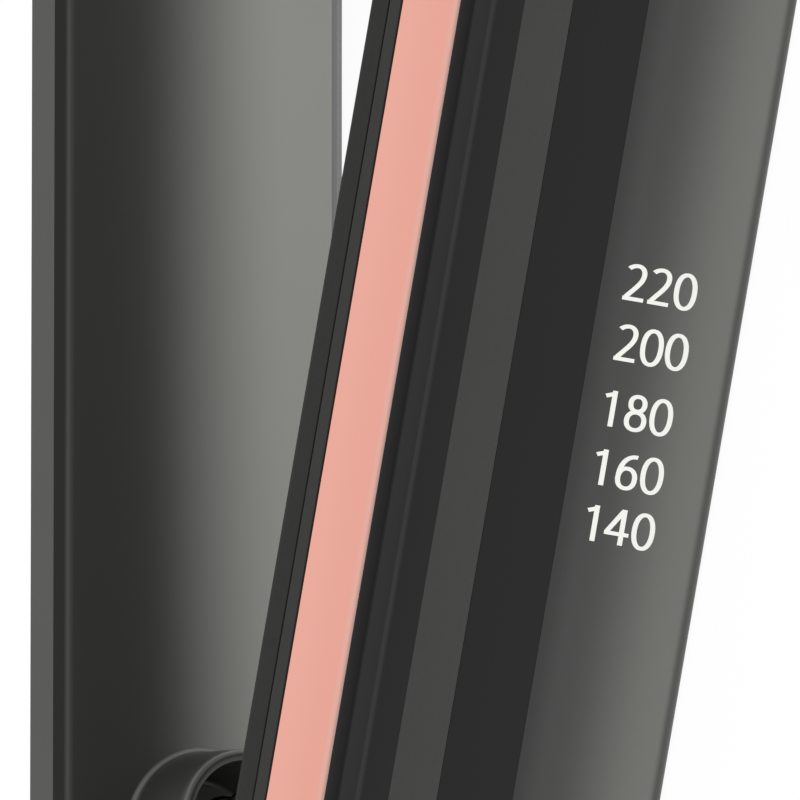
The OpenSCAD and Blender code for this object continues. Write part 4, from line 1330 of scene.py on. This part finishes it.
@dataclass
class HotEnds:
    """Heated plates on their silicone pads."""

    plate_t: float = 2.2
    plate_edge: float = 2.0
    plate_end: float = 0.3
    skirt: float = 2.2
    skirt_edge: float = 0.15
    inner_r: float = 0.3
    pad_r: float = 3.2
    bulge: float = 0.25
    travel: float = 1.0

    def plate(self, side: Side) -> None:
        """Heated plate: a channel section with round long edges and softly rounded ends.

        Args:
            side: The arm that it belongs to.
        """
        prefix, mirror, turn = side.value
        node = prefix + "_plate"
        low, high = low_high(node, -turn)
        face, back = sorted((low[0] * mirror, high[0] * mirror))
        z0, z1, edge = low[2], high[2], self.skirt_edge
        floor = face + self.plate_t
        outline = rounded([
            (face, z0, self.plate_edge), (face, z1, self.plate_edge), (back, z1, edge),
            (back, z1 - self.skirt, edge), (floor, z1 - self.skirt, self.inner_r),
            (floor, z0 + self.skirt, self.inner_r), (back, z0 + self.skirt, edge), (back, z0, edge)])
        rings = along_arm(outline, low[1], high[1], self.plate_end) * (mirror, 1.0, 1.0)
        piece = Shape().solid(rings).piece(node + "_skin", turn)
        settle(piece, node, "plate_coating", PLATE_COATING, node)

    def pads(self, side: Side) -> None:
        """Silicone pads: barrels that bulge by a sine.

        Args:
            side: The arm that they belong to.
        """
        prefix, mirror, turn = side.value
        node = prefix + "_pads"
        low, high = low_high(node, -turn)
        height = np.linspace(0, 1, 9)
        radius = self.pad_r - self.bulge + self.bulge * np.sin(np.pi * height)
        profile = np.column_stack([radius, low[0] + (high[0] - low[0]) * height])
        profile = np.concatenate([[(0.0, low[0])], profile, [(0.0, high[0])]])
        shape = Shape()
        for y in (low[1] + self.pad_r, high[1] - self.pad_r):
            shape.grid(turned(profile, (0.0, y, (low[2] + high[2]) / 2), Axis.ACROSS, steps=48))
        pads = settle(shape.piece(node + "_soft", turn), prefix + "_arm", "silicone", PAD_SILICONE, node)
        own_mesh(pads)

    def build(self) -> None:
        """Makes and dresses both hot ends."""
        for side in Side:
            self.plate(side)
            self.pads(side)


@dataclass
class Hinge:
    """Hinge caps and the coil spring between the arms.

    With the arms closed the cup's floor lies foot_x from the hinge axis on the plain arm's side, and
    the seat seat_x on the other side, both at spring_y along the arms. The spring's ends stay clear
    of them.
    """

    cap_t: float = 1.2
    cap_edge: float = 0.3
    cap_dish: float = 0.2
    dish_rim: float = 1.4
    flat_rim: float = 1.2
    spring_y: float = 59.0
    coils: int = 8
    coil_r: float = 3.45
    coil_steps: int = 28
    wire_r: float = 0.45
    wire_sides: int = 10
    foot_x: float = 5.2
    seat_x: float = 7.5
    clear: float = 0.75
    tilt_room: float = 1.0

    def caps(self) -> None:
        """Hinge caps: turned discs with a round edge and a shallow dished face."""
        low, high = low_high("hinge_caps")
        radius, thick, edge = (high[0] - low[0]) / 2, self.cap_t, self.cap_edge
        ring = np.linspace(0, 1, 7)
        dished = np.column_stack([(radius - self.dish_rim) * ring, thick - self.cap_dish * (1 - ring**3)])
        profile = np.concatenate([dished, [(radius - self.flat_rim, thick)],
            bow((radius - edge, thick - edge), edge, 90, 0), [(radius, 0.0), (0.0, 0.0)]])
        shape = Shape().grid(turned(profile * (1.0, -1.0), (0.0, 0.0, low[2] + thick), Axis.UP))
        shape.grid(turned(profile, (0.0, 0.0, high[2] - thick), Axis.UP))
        caps = shape.piece("hinge_caps_turned", sharp=40)
        settle(caps, "control_arm", "dark_cover", CHARCOAL_ABS, "hinge_caps")

    def spring(self) -> None:
        """Coil spring: a wire round an arc about the hinge axis, from the cup to its seat.

        At share t the arc's angle runs from the cup's to the seat's and the wire has turned coils
        times. The wire's ring lies in the plane of the coil's outward direction and its own.
        """
        low, high = low_high("arm_spring")
        path_r = math.hypot(self.foot_x, self.spring_y)
        rest = math.asin(self.clear / path_r)
        start = math.pi / 2 + OPEN + math.atan2(self.foot_x, self.spring_y) - rest
        end = math.atan2(self.spring_y, self.seat_x) + rest
        t = np.linspace(0, 1, self.coils * self.coil_steps + 1)
        a, w = start + (end - start) * t, 2 * np.pi * self.coils * t
        mid = (low[2] + high[2]) / 2
        flat = path_r + self.coil_r * np.cos(w)
        line = np.stack([flat * np.cos(a), flat * np.sin(a), mid + self.coil_r * np.sin(w)], axis=1)
        out = np.stack([np.cos(w) * np.cos(a), np.cos(w) * np.sin(a), np.sin(w)], axis=1)
        side = unit(np.cross(np.gradient(line, axis=0), out))
        angles = np.linspace(0, 2 * np.pi, self.wire_sides, endpoint=False)[:, None]
        rings = line[:, None] + self.wire_r * (np.cos(angles) * out[:, None] + np.sin(angles) * side[:, None])
        wire = settle(Shape().solid(rings).piece("arm_spring_wire"), "control_arm", "spring_steel",
            SPRING_WIRE, "arm_spring")
        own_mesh(wire)

    def build(self) -> None:
        """Makes and dresses the hinge's own pieces."""
        self.caps()
        self.spring()


@dataclass
class Studio:
    """White stage, plain soft lamps and the camera at the photograph's angle.

    The camera's turn about the arms, its roll and its half angle of view are in degrees. It aims at
    a point given by right, up and back of the picture.
    """

    turn: float = 56.0
    roll: float = 9.7204
    half_angle: float = 0.65
    half_width: float = 33.955
    aim: tuple[float, float, float] = (0.8134, 97.094, 4.3)
    sensor: float = 36.0
    ambient: float = 0.62
    mirrored: float = 0.48
    glow: float = 1.04
    bounce: float = 0.3
    shadow: float = 0.1
    floor_half: float = 4.0
    middle: tuple[float, float, float] = (0.0, 0.1, 0.0)

    def axes(self) -> tuple[Array, Array, Array]:
        """Right, up and back of the picture: the view turned about the arm, then rolled.

        Returns:
            The three directions.
        """
        a, roll = math.radians(self.turn), math.radians(self.roll)
        back = np.array([math.sin(a), 0.0, math.cos(a)])
        side = np.array([math.cos(a), 0.0, -math.sin(a)])
        along = np.array([0.0, 1.0, 0.0])
        right = math.sin(roll) * along + math.cos(roll) * side
        up = math.cos(roll) * along - math.sin(roll) * side
        return right, up, back

    def stand(self, name: str, data: bpy.types.Camera | bpy.types.Light, axes: list[Array],
            place: Array) -> bpy.types.Object:
        """Links a camera or a lamp at its place.

        Args:
            name: Its name.
            data: Its settings.
            axes: Its right, up and back.
            place: Where it stands, in metres.

        Returns:
            The new object.
        """
        made = bpy.data.objects.new(name, data)
        matrix = np.eye(4)
        matrix[:3, :3] = np.column_stack(axes)
        matrix[:3, 3] = place
        made.matrix_world = matrix.T.tolist()
        bpy.context.scene.collection.objects.link(made)
        return made

    def camera(self) -> None:
        """Long-lens camera: as far off as the half width over the tangent of the half angle."""
        right, up, back = self.axes()
        spread = math.tan(math.radians(self.half_angle))
        data = bpy.data.cameras.new("photo_camera")
        data.sensor_width = self.sensor
        data.lens = self.sensor / 2 / spread
        data.clip_start, data.clip_end = 0.1, 20.0
        place = right * self.aim[0] + up * self.aim[1] + back * (self.aim[2] + self.half_width / spread)
        bpy.context.scene.camera = self.stand("photo_camera", data, [right, up, back], place * MM)

    def seen(self, tree: bpy.types.NodeTree, *rays: str) -> Socket:
        """One for the rays named and the camera's own, and nothing for all others.

        Args:
            tree: Node tree that gets the nodes.
            rays: Outputs of the Light Path node.

        Returns:
            The socket that carries it.
        """
        path = add(tree, "LightPath")
        most = path.outputs["Is Camera Ray"]
        for name in rays:
            most = add(tree, "Math", {"operation": "MAXIMUM"}, {0: most, 1: path.outputs[name]}).outputs[0]
        return most

    def floor(self) -> None:
        """White floor under the part: it glows for what sees it, and keeps a faint shadow."""
        half = self.floor_half
        mesh = bpy.data.meshes.new("studio_floor")
        mesh.from_pydata([(-half, -half, 0), (half, -half, 0), (half, half, 0), (-half, half, 0)], [],
            [(0, 1, 2, 3)])
        floor = bpy.data.objects.new("studio_floor", mesh)
        bpy.context.scene.collection.objects.link(floor)
        made = bpy.data.materials.new("white_paper_sweep")
        tree = blank_tree(made)
        paper = add(tree, "BsdfDiffuse", None, {"Color": linear("#f4f4f3")})
        glow = add(tree, "Emission", None, {"Color": (1.0, 1.0, 1.0, 1.0), "Strength": self.glow})
        seen = self.seen(tree, "Is Glossy Ray", "Is Transmission Ray")
        share = add(tree, "MapRange", None, {"Value": seen, "To Min": self.bounce, "To Max": 1 - self.shadow})
        mixed = add(tree, "MixShader", None, {0: share.outputs[0], 1: paper.outputs[0], 2: glow.outputs[0]})
        add(tree, "OutputMaterial", None, {"Surface": mixed.outputs[0]})
        mesh.materials.append(made)

    def world(self) -> None:
        """World: white to the camera and through glass, half as bright to mirrors, soft on surfaces."""
        world = bpy.data.worlds.new("studio_world")
        tree = blank_tree(world)
        glossy = add(tree, "LightPath").outputs["Is Glossy Ray"]
        light = add(tree, "MapRange", None,
            {"Value": glossy, "To Min": self.ambient, "To Max": self.mirrored})
        strength = add(tree, "Math", {"operation": "MAXIMUM"},
            {0: light.outputs[0], 1: self.seen(tree, "Is Transmission Ray")})
        back = add(tree, "Background", None, {"Color": (1.0, 1.0, 1.0, 1.0), "Strength": strength.outputs[0]})
        add(tree, "OutputWorld", None, {"Surface": back.outputs[0]})
        bpy.context.scene.world = world

    def lamp(self, name: str, place: tuple[float, float, float], size: float, power: float) -> None:
        """Square soft lamp that faces the middle of the part and isn't seen itself.

        Args:
            name: Name of the lamp.
            place: Its place, in metres.
            size: Its side, in metres.
            power: Its power, in watts.
        """
        data = bpy.data.lights.new(name, "AREA")
        data.size, data.energy = size, power
        back = unit(np.array(place) - np.array(self.middle))
        right = unit(np.cross([0.0, 1.0, 0.01], back))
        lamp = self.stand(name, data, [right, np.cross(back, right), back], np.array(place))
        lamp.visible_camera = False
        lamp.visible_glossy = False

    def build(self) -> None:
        """Sets up the whole studio."""
        self.camera()
        self.floor()
        self.world()
        self.lamp("key_lamp", (1.2, 0.3, 1.0), 1.0, 10.0)
        self.lamp("fill_lamp", (-0.9, 0.2, 1.3), 1.2, 6.0)
        bpy.context.scene.view_settings.view_transform = "Standard"
        LOG.info("studio is set")


def main() -> None:
    """Builds the studio and every piece of the straightener."""
    logging.basicConfig(level=logging.INFO, format="%(name)s: %(message)s")
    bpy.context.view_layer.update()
    Studio().build()
    for assembly in (ControlArm(), Controls(), PlainArm(), HotEnds(), Hinge()):
        assembly.build()
    for name, finish in PLAIN_DRESS.items():
        finish.dress(frame["nodes"][name])
        LOG.info("%s is dressed", name)


if __name__ == "__main__":
    main()
